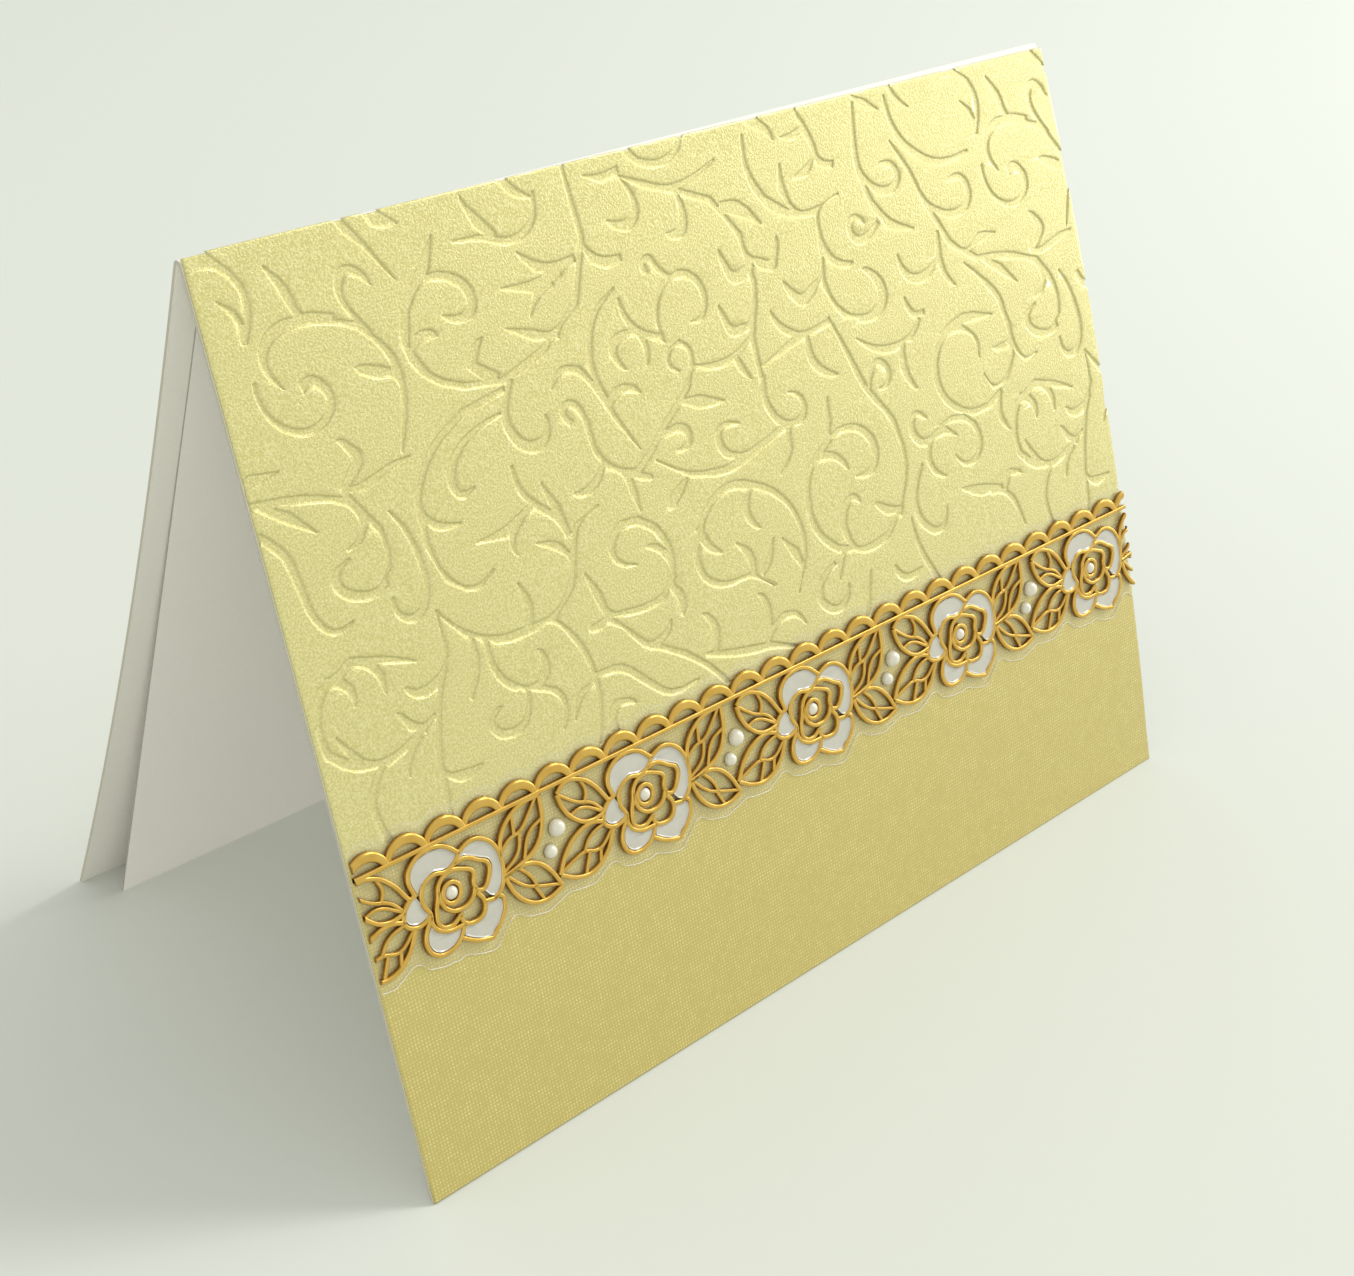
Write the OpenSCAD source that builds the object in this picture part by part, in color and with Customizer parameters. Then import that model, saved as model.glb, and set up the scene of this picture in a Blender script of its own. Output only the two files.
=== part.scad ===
// Tent-fold greeting card: white base, debossed gold front sheet, white insert and a rose border strip.
// The card stands on its two free edges. X runs along the fold, -Y is the front and Z is up.

/* [Card] */
// Width of the card along its fold
card_w = 139.7; // [110:0.1:180]
// Height of the front panel from the fold to its free edge
front_h = 107.95; // [95:0.05:140]
// Height of the back panel from the fold to its free edge, in a straight line
back_h = 106.6; // [104:0.1:130]
// Lean of the front panel from the vertical, in degrees
front_lean = 21.5; // [17:0.5:26]
// Thickness of the white cardstock
stock_t = 0.45; // [0.3:0.05:0.8]
// Inner radius of the bend at the fold
fold_r = 0.3; // [0.2:0.1:2]
// How far the back panel bows in from flat
back_bow = 1.7; // [0.8:0.1:4]

/* [Gold sheet] */
// Thickness of the gold front sheet
sheet_t = 0.6; // [0.45:0.05:1]
// Depth of the debossed scrolls
deboss_d = 0.35; // [0.1:0.05:0.4]
// White edge left beside and below the gold sheet
sheet_margin = 0.1; // [0.1:0.1:2]
// White edge left between the gold sheet and the fold
sheet_top_gap = 0.2; // [0.1:0.1:4]
// How much wider the strokes are pressed than their drawn widths
press_spread = 0.25; // [0:0.05:0.4]
// Height of the debossed field, from the top of the front panel down
field_h = 66; // [30:0.5:70]
// Length of one repeat of the scroll pattern
scroll_repeat = 118; // [90:1:160]

/* [Insert] */
// Thickness of the insert leaf
insert_t = 0.25; // [0.15:0.05:0.5]
// Distance of the insert from each side edge of the card
insert_inset = 3.2; // [1:0.1:12]
// Distance of the insert's upper edge below the fold
insert_drop = 1.5; // [0.5:0.1:5]
// Depth of the band by which the insert is stuck to the back panel
glue_band = 17; // [8:0.5:30]

/* [Border strip] */
// Length of one rose unit of the border
rose_pitch = 29.6; // [24:0.1:40]
// Place of the first rose's centre from the left edge of the card
rose_start = 11.65; // [0:0.05:30]
// Height of the rose centres above the foot of the front panel
rose_rise = 34; // [24:0.1:50]
// Length of one scallop of the border's upper edge
scallop_pitch = 5.32; // [4:0.01:8]
// Place of the first scallop's middle from the left edge of the card
scallop_start = 1.8; // [0:0.1:5]
// Width of the gold lines
line_w = 0.6; // [0.4:0.05:0.9]
// Thickness of the clear film
film_t = 0.2; // [0.1:0.05:0.5]
// Clear margin of the film around the gold lines
film_margin = 1.4; // [0.6:0.1:3]
// Height of the gold lines above the film
line_t = 0.6; // [0.3:0.05:1.2]
// Height of the white petal fields above the film
petal_t = 0.35; // [0.1:0.05:0.8]
// Gap between a petal field and the gold line round it
petal_gap = 0.03; // [0.01:0.01:0.1]
// Diameter of the large pearls
pearl_d = 2.2; // [1:0.1:3]

/* [Hidden] */
// How far a cutting shape runs past the surface that it cuts
overrun = 2;
// How far the bend runs into each panel, in degrees
bend_lap = 4;
// Sides of the circles that draw the back panel's bow, the rose's eye, the scallops, the film and the pearls
bow_sides = 2400;
eye_sides = 8;
scallop_sides = 12;
film_sides = 20;
pearl_sides = 12;

// Radius and half angle of the back panel's bow over its straight height
back_r = (back_h * back_h / 4 + back_bow * back_bow) / (2 * back_bow);
back_half = asin(back_h / 2 / back_r);
fold_out_r = fold_r + stock_t;

// The bend's centre is the reference of the side view: y to the back, z up
front_top = fold_out_r * [-cos(front_lean), sin(front_lean)];
front_foot = front_top - front_h * [sin(front_lean), cos(front_lean)];
floor_z = front_foot[1];

// The back panel leans just enough for its free edge to reach the same floor
function back_drop(lean) = back_h * cos(lean) - fold_out_r * sin(lean - back_half);
function find_lean(low, high, n) =
    let (mid = (low + high) / 2)
    n == 0 ? mid : back_drop(mid) > -floor_z ? find_lean(mid, high, n - 1) : find_lean(low, mid, n - 1);
back_lean = find_lean(0, 45, 40);
back_top_lean = back_lean - back_half;
back_top = fold_out_r * [cos(back_top_lean), sin(back_top_lean)];
back_foot = back_top + back_h * [sin(back_lean), -cos(back_lean)];

// Middle of the card from the gold sheet's lowest point at the front to the back panel's foot
sheet_reach = sheet_margin * sin(front_lean) - sheet_t * cos(front_lean);
mid_y = (front_foot[0] + min(0, sheet_reach) + back_foot[0]) / 2;
film_top = sheet_t + film_t;

// Centre of the back panel's bow in the side view
back_mid = back_top + back_r * [cos(back_top_lean), sin(back_top_lean)];

// Insert leaf: it follows the back panel for the glue band, then runs straight to the floor
insert_r = back_r + stock_t;
glue_turn = glue_band / insert_r * 180 / PI;
leaf_lean = back_top_lean + glue_turn;
leaf_top = back_mid - insert_r * [cos(leaf_lean), sin(leaf_lean)];
leaf_len = (leaf_top[1] - floor_z) / cos(leaf_lean) + overrun;

// Scroll pattern: one grid square is a share of the repeat. Each stroke is its widths at the start, the
// belly and the end, an optional place of the belly along it, and points on its centre line from the left
// and from the top, all in grid squares.
grid_share = 1 / 118;
grid = scroll_repeat * grid_share;
stem_shares = [
    [[0.5, 1, 0.5], [[0.2, 0.5], [3.2, 0.6], [5.4, 2.9], [5.7, 5.8], [4.4, 9]]],
    [[1.2, 1.5, 0.1], [[15.5, 9], [11.5, 8.2], [7.6, 8.9], [5.8, 11.4], [7.4, 14.6]]],
    [[0.8, 1.1, 0.2], [[13, 8.7], [17.3, 9.8], [20.5, 13], [21.8, 16.8], [21.3, 20.5], [19.6, 24.8]]],
    [[0.4, 1.1, 1.3, 0.6], [[4.1, 13.2], [4.6, 16.6], [7, 19], [10.3, 19.5], [12.6, 17.2], [11.2, 14.6],
        [9.4, 15.2]]],
    [[0.6, 1.3, 0.1, 0.7], [[19.5, 11.5], [17.3, 8.3], [17, 5.8], [18.8, 4.4], [20.9, 6.6]]],
    [[1.2, 1, 0.8], [[27.3, 7], [25, 9.6], [23.4, 12.8], [24.2, 16.2], [26.8, 19], [30.5, 20.3], [35, 20.9]]],
    [[0.8, 1.5, 0.1, 0.7], [[26, 8.2], [28.5, 7.5], [31.5, 8.3], [33.4, 10.6], [32.4, 12.8], [29.1, 12]]],
    [[0.9, 1, 0.3], [[0, 25.2], [5, 26], [10.3, 27], [13.4, 30], [14.8, 33.6], [14.2, 36.8], [12.5, 38.2]]],
    [[0.7, 1.4, 0.2, 0.6], [[13.8, 37.8], [11.2, 38.5], [8.2, 37.2], [7.6, 35.2], [9.8, 33.9]]],
    [[0.6, 1.2, 0.2], [[10.8, 27.6], [12.6, 29.8], [12.2, 32], [9.8, 33]]],
    [[0.6, 1, 0.1], [[11, 26.7], [14, 27], [17, 26], [20.3, 25.5]]],
    [[1, 1, 0.2], [[0, 28.4], [2.4, 31.3], [3.2, 35], [3.9, 38.7], [5.8, 40.9], [8.3, 40.5]]],
    [[0.2, 1.1, 0.4], [[16.1, 30.5], [17.6, 33.2], [18.5, 37], [18.4, 40.3], [16.6, 42.6], [14.3, 41.9],
        [13.8, 39.7]]],
    [[0.7, 1, 0.2], [[34.8, 21.8], [30, 22.4], [25.5, 24.3], [21.7, 27.3], [19.9, 31], [19.8, 35], [20.5, 38.5],
        [22.6, 41.4], [25.5, 42.1], [27.6, 40.8]]],
    [[0.2, 1.3, 0.2, 0.6], [[33.5, 24.3], [29.5, 25.2], [26.2, 27.2], [25, 29.6], [25.6, 31.5], [27.7, 31.2]]],
    [[0.2, 1, 0.2], [[45.3, 1.5], [44.7, 4], [42.5, 5.8], [39.8, 6], [36.5, 4.9], [32.8, 4.6]]],
    [[0.5, 1.1, 0.8], [[50.2, -0.6], [50.9, 4], [50.7, 8], [49.6, 11.8], [47.6, 14.9], [45, 17.2], [41.5, 19],
        [38, 20.2], [34.5, 21]]],
    [[0.2, 1, 0.8], [[53.7, 14.6], [50.3, 16.6], [48.4, 19.5], [47.8, 23], [48.8, 26.5]]],
    [[0.3, 1.2, 0.1], [[41.3, 23.6], [43.3, 21.9], [45.8, 22.5], [48, 25.5], [49.5, 29], [52.3, 33.8]]],
    [[1, 0.9, 1], [[43, 28], [42.2, 26.6], [43.5, 25.7], [44.9, 27.5], [45.4, 30.5], [46, 33.2], [48.5, 35.4],
        [51, 36.2]]],
    [[0.8, 1.6, 0.2, 0.65], [[36, 21], [34.3, 24], [34.3, 26.6], [36.2, 28.9], [38.9, 28.8], [39.6, 26.2]]],
    [[0.6, 1, 0.5], [[59.3, -0.6], [61.8, 1.2], [64.5, 2], [67.3, 1.5], [69.8, -0.4]]],
    [[0.2, 1.1, 0.2], [[58.2, 2.3], [61.5, 3.8], [65.5, 5.2], [69.5, 4.8], [73.8, 3.3]]],
    [[0.8, 1.1, 0.9], [[66, 5.4], [69.2, 6.2], [72.2, 8.3], [74.3, 11], [75.6, 14.3], [76, 17.5], [75.2, 21],
        [73.8, 24.6], [73.4, 28], [73.7, 31]]],
    [[0.8, 1.6, 0.1, 0.65], [[66.4, 5.6], [66.9, 8.4], [65.7, 10.6], [63.5, 10.2]]],
    [[0.3, 1.6, 0.1, 0.65], [[58.3, 2.5], [59.7, 4.8], [59.3, 7.2], [57.3, 8], [55, 6.9]]],
    [[0.3, 1.1, 0.1, 0.6], [[59.5, 22.5], [59.2, 19.3], [60.6, 16.5], [63.5, 15.2], [66.2, 16.2], [67.3, 18.7],
        [66.2, 21], [64.2, 21.2]]],
    [[1, 0.9, 0.8], [[59, 14], [58.8, 12.8], [60.1, 12.5], [61, 14], [62.6, 15.3]]],
    [[0.2, 1.2, 0.8], [[54, 15.9], [54.4, 18.3], [56, 20.5], [59.4, 21.9]]],
    [[0.8, 1.4, 0.1], [[55.2, 20.2], [52.5, 20.4], [51.4, 22], [52.8, 24.1]]],
    [[0.3, 0.9, 1], [[60.8, 26.4], [59.4, 25.2], [60.3, 23.4], [62.3, 23.3], [63.2, 25.2], [62.4, 27.6],
        [60.3, 29.6], [57.3, 31.6], [54.5, 34], [51.5, 36]]],
    [[0.5, 1.3, 0.1], [[55.5, 33.4], [58.3, 32.8], [60, 33.7], [59.6, 35.3], [57.8, 35.5]]],
    [[0.4, 1, 0.6], [[63.3, 26.5], [66.5, 27.2], [70, 27], [73.4, 25.4]]],
    [[0.2, 1.3, 0.2], [[79.2, 1.3], [78.7, 4.8], [79.7, 8.4], [82.2, 11], [85.5, 12.4], [89.3, 12.7], [93.6, 11.5]]],
    [[0.6, 1.1, 1], [[88.6, -0.6], [90, 2], [91, 4.8], [91.4, 6.8], [93.9, 7.7]]],
    [[0.2, 1.1, 0.8], [[99.7, 0.8], [98.7, 5], [98.2, 8.5], [98.8, 12], [100, 15.6]]],
    [[0.8, 1.3, 0.1], [[98.5, 9.5], [100.3, 12], [103.4, 12.9], [105.2, 11.5], [104.4, 9.6], [102.2, 9.3]]],
    [[0.2, 1.3, 0.7], [[97.2, 16], [95.8, 14.9], [94.4, 16.1], [95.2, 17.8], [97.4, 17.8], [99.8, 16.4]]],
    [[0.8, 0.9, 0.9], [[89.4, 12.6], [88.9, 16], [87.7, 20], [88.4, 24], [91, 27], [94.5, 28]]],
    [[0.9, 2, 0.1, 0.6], [[92.8, 27.7], [95.8, 27.8], [97.9, 26], [97.4, 23.4], [95.2, 21.7]]],
    [[0.2, 1.1, 0.2], [[87.3, 26.2], [88.8, 28.6], [89.3, 31.5], [90.2, 34.6], [92.2, 37.6], [94.6, 40.6],
        [96, 44], [96.3, 47.5], [95.5, 51], [93.6, 54.6]]],
    [[0.1, 1.2, 0.3], [[91.5, 30], [94, 31.8], [97.5, 32.8], [101.5, 32.3], [104, 30.4]]],
    [[0.2, 1.5, 0.6], [[102.2, 21.3], [102.6, 23.4], [104.4, 25], [107.2, 24.9], [110, 23.4]]],
    [[0.8, 1.3, 0.2], [[74, 30.5], [73.6, 33], [74.5, 35.8], [77, 37.6], [79.5, 37], [79.8, 34.8], [77.6, 33.5]]],
    [[0.2, 1.2, 0.2], [[105.8, 1], [106.2, 4.8], [108.3, 8.2], [111.7, 10.4], [115.3, 11.4], [119.8, 10.8]]],
    [[0.2, 1, 0.9], [[105.1, 6.8], [107.2, 10.3], [108.8, 14], [110.4, 18], [113.6, 23], [118, 25.4]]],
    [[0.7, 1.3, 0.1], [[109.6, 15.8], [112, 17.6], [115.2, 18.5], [118, 17.2], [118.2, 14.8], [116.5, 13.6],
        [114.5, 14.1]]],
    [[0.2, 1, 0.2], [[114.7, 25.2], [117.3, 27.6], [119.8, 30.5], [121.2, 34], [121.5, 37.5], [120.6, 40.8],
        [118.3, 42.9], [115.8, 42.8], [114.6, 40.6]]],
    [[0.2, 1.3, 0.6], [[114.2, 38.3], [114.2, 35.6], [111.5, 33.4], [108, 33.8], [105.6, 36.3], [105.2, 40],
        [107, 43], [110.5, 45], [114, 45.2], [117.5, 43.8]]],
    [[0.9, 1.4, 0.1], [[0.9, 50.6], [1.8, 47.2], [4.8, 44.9], [8.8, 45], [11.8, 46.2], [14.7, 47.3]]],
    [[1, 1.2, 0.8], [[0.9, 50], [0.9, 52.8], [2.8, 55], [6, 56.5], [9.5, 56.6], [12.5, 55.4], [15.5, 54]]],
    [[0.2, 1, 0.8], [[18.8, 42.8], [19.2, 45.5], [18.7, 48.3], [17.2, 51.3], [15.5, 54.5], [14.8, 58], [14.7, 61.5],
        [14.2, 66.8]]],
    [[0.8, 1.5, 0.1], [[18.3, 49.4], [16.2, 50.8], [14, 50.9], [12.6, 49.8]]],
    [[1, 1, 0.7], [[7.8, 56.6], [5.6, 59], [5.1, 62.2], [6.4, 66.4]]],
    [[0.3, 1.1, 0.9], [[18.9, 43], [21, 45.8], [24.3, 48.2], [28, 49], [32, 49.1], [34.8, 48.7]]],
    [[0.9, 1, 0.3, 0.6], [[24.2, 48.3], [24.3, 51], [25.8, 54], [28.2, 55.4], [31, 56.3], [33, 58.4], [32.9, 60.7],
        [32, 62]]],
    [[0.6, 1.2, 0.1, 0.6], [[28.3, 55.6], [27.8, 58.2], [25.8, 59.7], [23.2, 59.1], [22.6, 57.3], [24.3, 56.3]]],
    [[0.4, 1.1, 1], [[33.3, 30.4], [33.8, 33.6], [35.6, 35.9], [38, 38], [39, 40.4]]],
    [[0.1, 1.2, 0.8], [[44.1, 38.3], [41, 39.2], [39.3, 41.5], [38.6, 44.3], [37.2, 46.7], [34.4, 48.8]]],
    [[0.8, 0.9, 0.6], [[33.8, 48.8], [36, 51.4], [37.4, 54.3], [38.3, 57.6], [38.2, 61], [36.8, 66.2]]],
    [[0.8, 1.1, 0.2], [[38.2, 57.5], [41.5, 57.7], [44.5, 59.6], [46.8, 62.3], [49.8, 63.8], [53.6, 63.5]]],
    [[0.9, 1, 0.8], [[41.8, 51.5], [44.6, 54.8], [48.5, 57.8], [52.5, 59.9], [55, 61.4], [56.4, 64], [59, 66.6]]],
    [[1, 0.9, 0.9], [[42, 51.2], [45, 51.9], [48, 52.2], [51, 51.7], [53.2, 49.8]]],
    [[0.8, 1.3, 0.1, 0.6], [[52.7, 51], [53.4, 47.8], [52.5, 44.4], [49.8, 42], [46.6, 41.7], [44.8, 43.5],
        [45.2, 45.7], [47.9, 46.8]]],
    [[0.1, 1.1, 0.8], [[54.2, 35.7], [57.2, 38], [61, 39.5], [65, 40], [69, 39.4], [73, 38.1], [76.6, 37.3]]],
    [[0.5, 1.4, 0.1], [[69, 39], [66, 38.5], [64.7, 36.7], [65.3, 34.7], [68.5, 35]]],
    [[0.2, 1.1, 0.4], [[72.8, 58.7], [75, 55], [75.4, 51.5], [74.3, 47.8], [71.8, 44.9], [68, 42.8], [64, 42.1],
        [60.3, 43.9], [57.8, 47], [57.3, 50.3], [58.9, 52.8], [62, 53.8], [66, 54], [69.1, 56.4]]],
    [[0.5, 1.2, 0.4], [[55.6, 61], [59.5, 62.2], [63, 63], [66.5, 63.6], [71, 65.4]]],
    [[0.7, 1.1, 0.2], [[65.6, 63.4], [68, 61.1], [71, 60.8], [73, 62.8]]],
    [[0.7, 1.4, 0.1, 0.65], [[82.5, 41.4], [86, 40.5], [89.4, 41.8], [91, 44.6], [89.8, 47.2], [86.6, 47.2]]],
    [[0.9, 1.1, 0.8], [[83.2, 41.2], [79.8, 43], [77.7, 46.5], [77.5, 50.5], [79.2, 53.9], [82.8, 56.2], [87, 57],
        [91, 56.2], [94, 53.6]]],
    [[0.2, 1.5, 0.9], [[86.5, 50.6], [85.2, 49.6], [83.3, 51], [82.8, 53.5], [84.2, 56.4]]],
    [[0.5, 1, 0.2], [[92, 37.3], [92.9, 35], [94.7, 33.9], [96.2, 35.4], [95.4, 37.2], [93.8, 37.3]]],
    [[0.2, 1.3, 0.8], [[101.7, 43.4], [99.8, 42.3], [98.6, 43.9], [99.5, 46], [102, 46.6], [106, 44.8]]],
    [[0.7, 1.1, 0.1], [[104, 45.4], [107.5, 44.9], [110.4, 46.3], [111.5, 49], [110.2, 51.3], [107.8, 51.6],
        [106.1, 49.8]]],
    [[0.4, 1.2, 0.1], [[99.3, 49.2], [97, 52.6], [97, 55.8], [98.9, 58.2], [101.4, 58.6], [102.7, 56.1]]],
    [[0.1, 1, 0.8], [[95.4, 55.6], [95.9, 59.5], [97.2, 62.6], [99.4, 66.6]]],
    [[0.6, 1.3, 0.1], [[80, 57], [77, 58.6], [76.4, 61], [78.6, 62.9], [81, 62.2], [81.7, 60.4]]],
    [[0.6, 1, 0.2], [[112, 57], [115, 57.6], [116.8, 60.3], [118, 63.4]]],
    [[0.7, 1.4, 0.1], [[39.8, 66.6], [39.3, 63.6], [40.7, 61.9], [43.3, 62.8]]]
];

// Leaves: widths at the base, the belly and the tip, and three points from the base to the tip
leaf_shares = [
    [[0.5, 1, 0.1], [[4.1, 9], [4.5, 6.6], [2.4, 4.2]]],
    [[1.2, 1.4, 0.1], [[11.4, 7.9], [10.4, 4.8], [8.7, 1.9]]],
    [[1.2, 1.7, 0.1], [[21.4, 16.6], [18.9, 15.7], [16.5, 14.7]]],
    [[0.9, 0.8, 0.1], [[18.1, -0.7], [21, 2], [24.2, 6.8]]],
    [[0.6, 1.2, 0.1], [[21.3, -0.7], [23.8, 0.5], [26.2, 1.1]]],
    [[1.2, 1.7, 0.1], [[26.2, 8.4], [28.4, 6.2], [30.2, 3.3]]],
    [[0.6, 1.5, 0.2], [[24, 14.6], [25.6, 13.4], [27.8, 13.9]]],
    [[1.4, 1.8, 0.1], [[34.4, 20.4], [31.3, 18.2], [33.5, 15.6]]],
    [[0.9, 1.5, 0.1], [[1, 25.6], [4, 27.6], [6.8, 30]]],
    [[0.8, 1.7, 0.1], [[11.3, 26.6], [13.9, 23.9], [12, 21.4]]],
    [[0.6, 1.5, 0.1], [[-1.8, 23.6], [0.8, 22.6], [4.2, 22.6]]],
    [[0.8, 1.2, 0.1], [[20, 31.6], [21.4, 33.8], [24.8, 34.5]]],
    [[1.2, 1.8, 0.1], [[38.6, 5.2], [36.7, 3.2], [35.1, 0.6]]],
    [[0.6, 1.1, 0.1], [[41, -0.2], [43, 1.2], [45, 2.1]]],
    [[1, 1.8, 0.1], [[49, 10], [44.6, 10.4], [41.1, 7.6]]],
    [[1.4, 1.7, 0.1], [[46.5, 10.9], [42.2, 11.8], [37.7, 11]]],
    [[1.2, 1.2, 0.1], [[45, 11.8], [42.4, 12.8], [40.8, 15]]],
    [[0.9, 1.7, 0.8], [[50.6, 8.8], [52.4, 11.2], [55.8, 11.4]]],
    [[1, 1.5, 0.1], [[44.2, 17.8], [40.6, 17], [37, 15.4]]],
    [[1.2, 1.3, 0.1], [[48.9, 27.5], [51.5, 26.1], [54.1, 27.3]]],
    [[0.9, 1.2, 0.1], [[58.4, 1.5], [55.6, 2], [52.9, 1.2]]],
    [[1.6, 2.2, 0.1], [[73, 9], [76, 9.8], [79.2, 12.3]]],
    [[1.2, 1, 0.1], [[55.8, 20.6], [56.6, 22.4], [56, 24.5]]],
    [[0.4, 2, 0.1], [[59.3, 29.8], [63, 30.8], [66.9, 31.7]]],
    [[0.9, 1.2, 0.1], [[70.2, 27], [70.8, 28.6], [72.1, 30.3]]],
    [[0.6, 1.5, 0.1], [[74.3, 23.6], [70.6, 23.9], [69.3, 20.4]]],
    [[1, 1.7, 0.1], [[76.4, 16.8], [72.6, 17.6], [71.2, 13.9]]],
    [[0.8, 1.7, 0.1], [[76, 15.8], [79.4, 17.6], [81.2, 14.4]]],
    [[0.8, 1.2, 0.1], [[87.2, 26.7], [81.3, 27.4], [74, 29.4]]],
    [[0.8, 1.2, 0.1], [[82.2, 27.2], [79, 25.7], [77.6, 23.1]]],
    [[0.6, 1.8, 0.1], [[87.8, 20.6], [83.4, 23], [80.8, 20]]],
    [[1, 1.6, 0.1], [[85.2, 11.8], [83.9, 8.8], [84.5, 5.9]]],
    [[0.4, 1.4, 0.1], [[80.3, 0.2], [83, 0.9], [84.3, 2.8]]],
    [[0.6, 1, 0.1], [[90.3, 2.2], [87.8, 3], [85.6, 2.8]]],
    [[0.8, 1.2, 0.1], [[91, 5.8], [88.8, 7.6], [86.5, 8]]],
    [[1, 1.6, 0.1], [[99.6, 14], [101.8, 17], [106.2, 18.6]]],
    [[0.8, 1.4, 0.1], [[88.9, 16], [90, 19.4], [93.6, 20.4]]],
    [[0.7, 1.5, 0.1], [[82.9, 27.4], [83.2, 31.4], [86.9, 33.5]]],
    [[0.6, 1.2, 0.1], [[105, 29.6], [102.9, 29.6], [101.9, 27]]],
    [[0.8, 1, 0.1], [[106.6, -0.5], [108.2, 2], [110.1, 3.2]]],
    [[0.3, 1.2, 0.1], [[99.8, 0.3], [102, 1.3], [104.2, 2.5]]],
    [[0.7, 1.3, 0.1], [[110.7, 20], [110, 24.6], [112.2, 27.6]]],
    [[0.9, 1.6, 0.1], [[107.4, 33.6], [112.5, 32.4], [118.3, 33.2]]],
    [[1.2, 1.5, 0.1], [[3, 45.6], [5.6, 46.8], [5.9, 49.4]]],
    [[1.2, 1.5, 0.1], [[7.6, 44.8], [9.7, 46.4], [10, 49.4]]],
    [[1.2, 1.2, 0.1], [[12.8, 55.4], [10.9, 57.2], [10.4, 59.4]]],
    [[1.2, 1.3, 0.1], [[14, 55], [12.1, 54], [10.8, 52.1]]],
    [[1, 1.2, 0.1], [[5.8, 56.2], [4, 54.4], [2.7, 51.8]]],
    [[0.8, 1.5, 0.1], [[14.7, 60.8], [17, 61.9], [20, 61.6]]],
    [[0.8, 1.6, 0.3], [[22.4, 47.2], [22.2, 50.4], [20.6, 54]]],
    [[1.3, 1.5, 0.1], [[30.2, 55.6], [31.7, 53.9], [31, 51.7]]],
    [[1.2, 1.5, 0.1], [[30.5, 49], [31.1, 46.3], [30.4, 43.4]]],
    [[1, 1.5, 0.1], [[34.6, 35.6], [30.2, 37.4], [26.2, 37.3]]],
    [[1.2, 1.2, 0.1], [[32.8, 36.6], [31, 38.2], [31.3, 40.3]]],
    [[1, 1.5, 0.1], [[39, 40.2], [38, 36.6], [36.8, 33.4]]],
    [[0.9, 1.2, 0.1], [[38.8, 43.2], [37, 41.1], [34.2, 39.9]]],
    [[0.8, 1, 0.1], [[38.2, 57.8], [35.6, 59], [34, 61.6]]],
    [[1.3, 1.5, 0.1], [[42.2, 51.7], [41.2, 48.6], [40, 45.4]]],
    [[1, 1.1, 0.1], [[42.6, 51.5], [40.7, 52], [38.9, 52]]],
    [[1, 1.2, 0.1], [[47, 57], [49.6, 56.7], [51.2, 55]]],
    [[1.2, 1.5, 0.2], [[52.6, 51.2], [53.6, 53], [53.2, 55]]],
    [[0.9, 1.3, 0.1], [[53.1, 48.6], [52.2, 46.3], [49.8, 45.3]]],
    [[0.8, 1.2, 0.1], [[46.2, 34.2], [43.6, 36.2], [41.1, 36]]],
    [[1.4, 1.3, 0.1], [[49.2, 35.8], [49.8, 38.2], [50.2, 40.8]]],
    [[1.2, 1, 0.1], [[49.8, 36], [51.6, 36.9], [53.1, 37.5]]],
    [[1, 1.7, 0.1], [[76.6, 37.4], [75.9, 40.3], [73.6, 43.2]]],
    [[0.4, 1.7, 0.5], [[58.4, 39.2], [56.3, 40.6], [54.6, 41.8]]],
    [[1.4, 1.5, 0.1], [[58.6, 45.5], [59.2, 47.9], [61.4, 49.5]]],
    [[0.5, 1.4, 0.1], [[68.2, 43.4], [66.6, 46], [68.4, 48.5]]],
    [[1, 1.5, 0.1], [[66, 54], [65.7, 51.3], [63.9, 49.2]]],
    [[0.8, 1.1, 0.1], [[67.2, 54.4], [69, 52.8], [70.2, 50.5]]],
    [[1, 1.7, 0.1], [[74.4, 56.2], [73.5, 53.5], [71.7, 51]]],
    [[0.8, 1.4, 0.1], [[57.2, 61.4], [57.9, 58.2], [56.3, 56]]],
    [[0.9, 1.4, 0.1], [[66, 63], [67.1, 59], [65.9, 56.6]]],
    [[0.9, 1.4, 0.1], [[83, 41.2], [83.6, 38.6], [84.3, 35.9]]],
    [[1, 1.4, 0.1], [[79.6, 43.4], [82.9, 43.1], [85.5, 45.9]]],
    [[1, 1.6, 0.1], [[93.6, 53.8], [91.2, 53.2], [89.2, 51.7]]],
    [[1, 1.5, 0.1], [[100, 32.6], [99.2, 36], [101, 39.1]]],
    [[0.9, 1.3, 0.1], [[102, 46.7], [104.4, 45.9], [107.1, 47.3]]],
    [[0.8, 1.3, 0.1], [[101.6, 46.6], [100.8, 50], [103.5, 52]]],
    [[1, 1.1, 0.1], [[82.2, 56], [81, 57.6], [80.3, 59.4]]],
    [[0.3, 1.2, 0.1], [[90.8, 60.8], [92.4, 63.1], [95.8, 62.6]]],
    [[0.8, 1.1, 0.1], [[121.4, 37.4], [119.4, 38], [117.3, 37.8]]],
    [[0.4, 1.9, 0.2], [[114.4, 56.7], [110, 56], [106.2, 54.7]]],
    [[0.7, 1.2, 0.1], [[115.1, 57.4], [116.3, 55.4], [118.8, 56]]],
    [[0.8, 1.3, 0.1], [[117.2, 44.2], [116.3, 47], [118, 49.5]]],
    [[0.6, 1, 0.1], [[84, 66], [85, 62.8], [86.2, 60]]]
];

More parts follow.
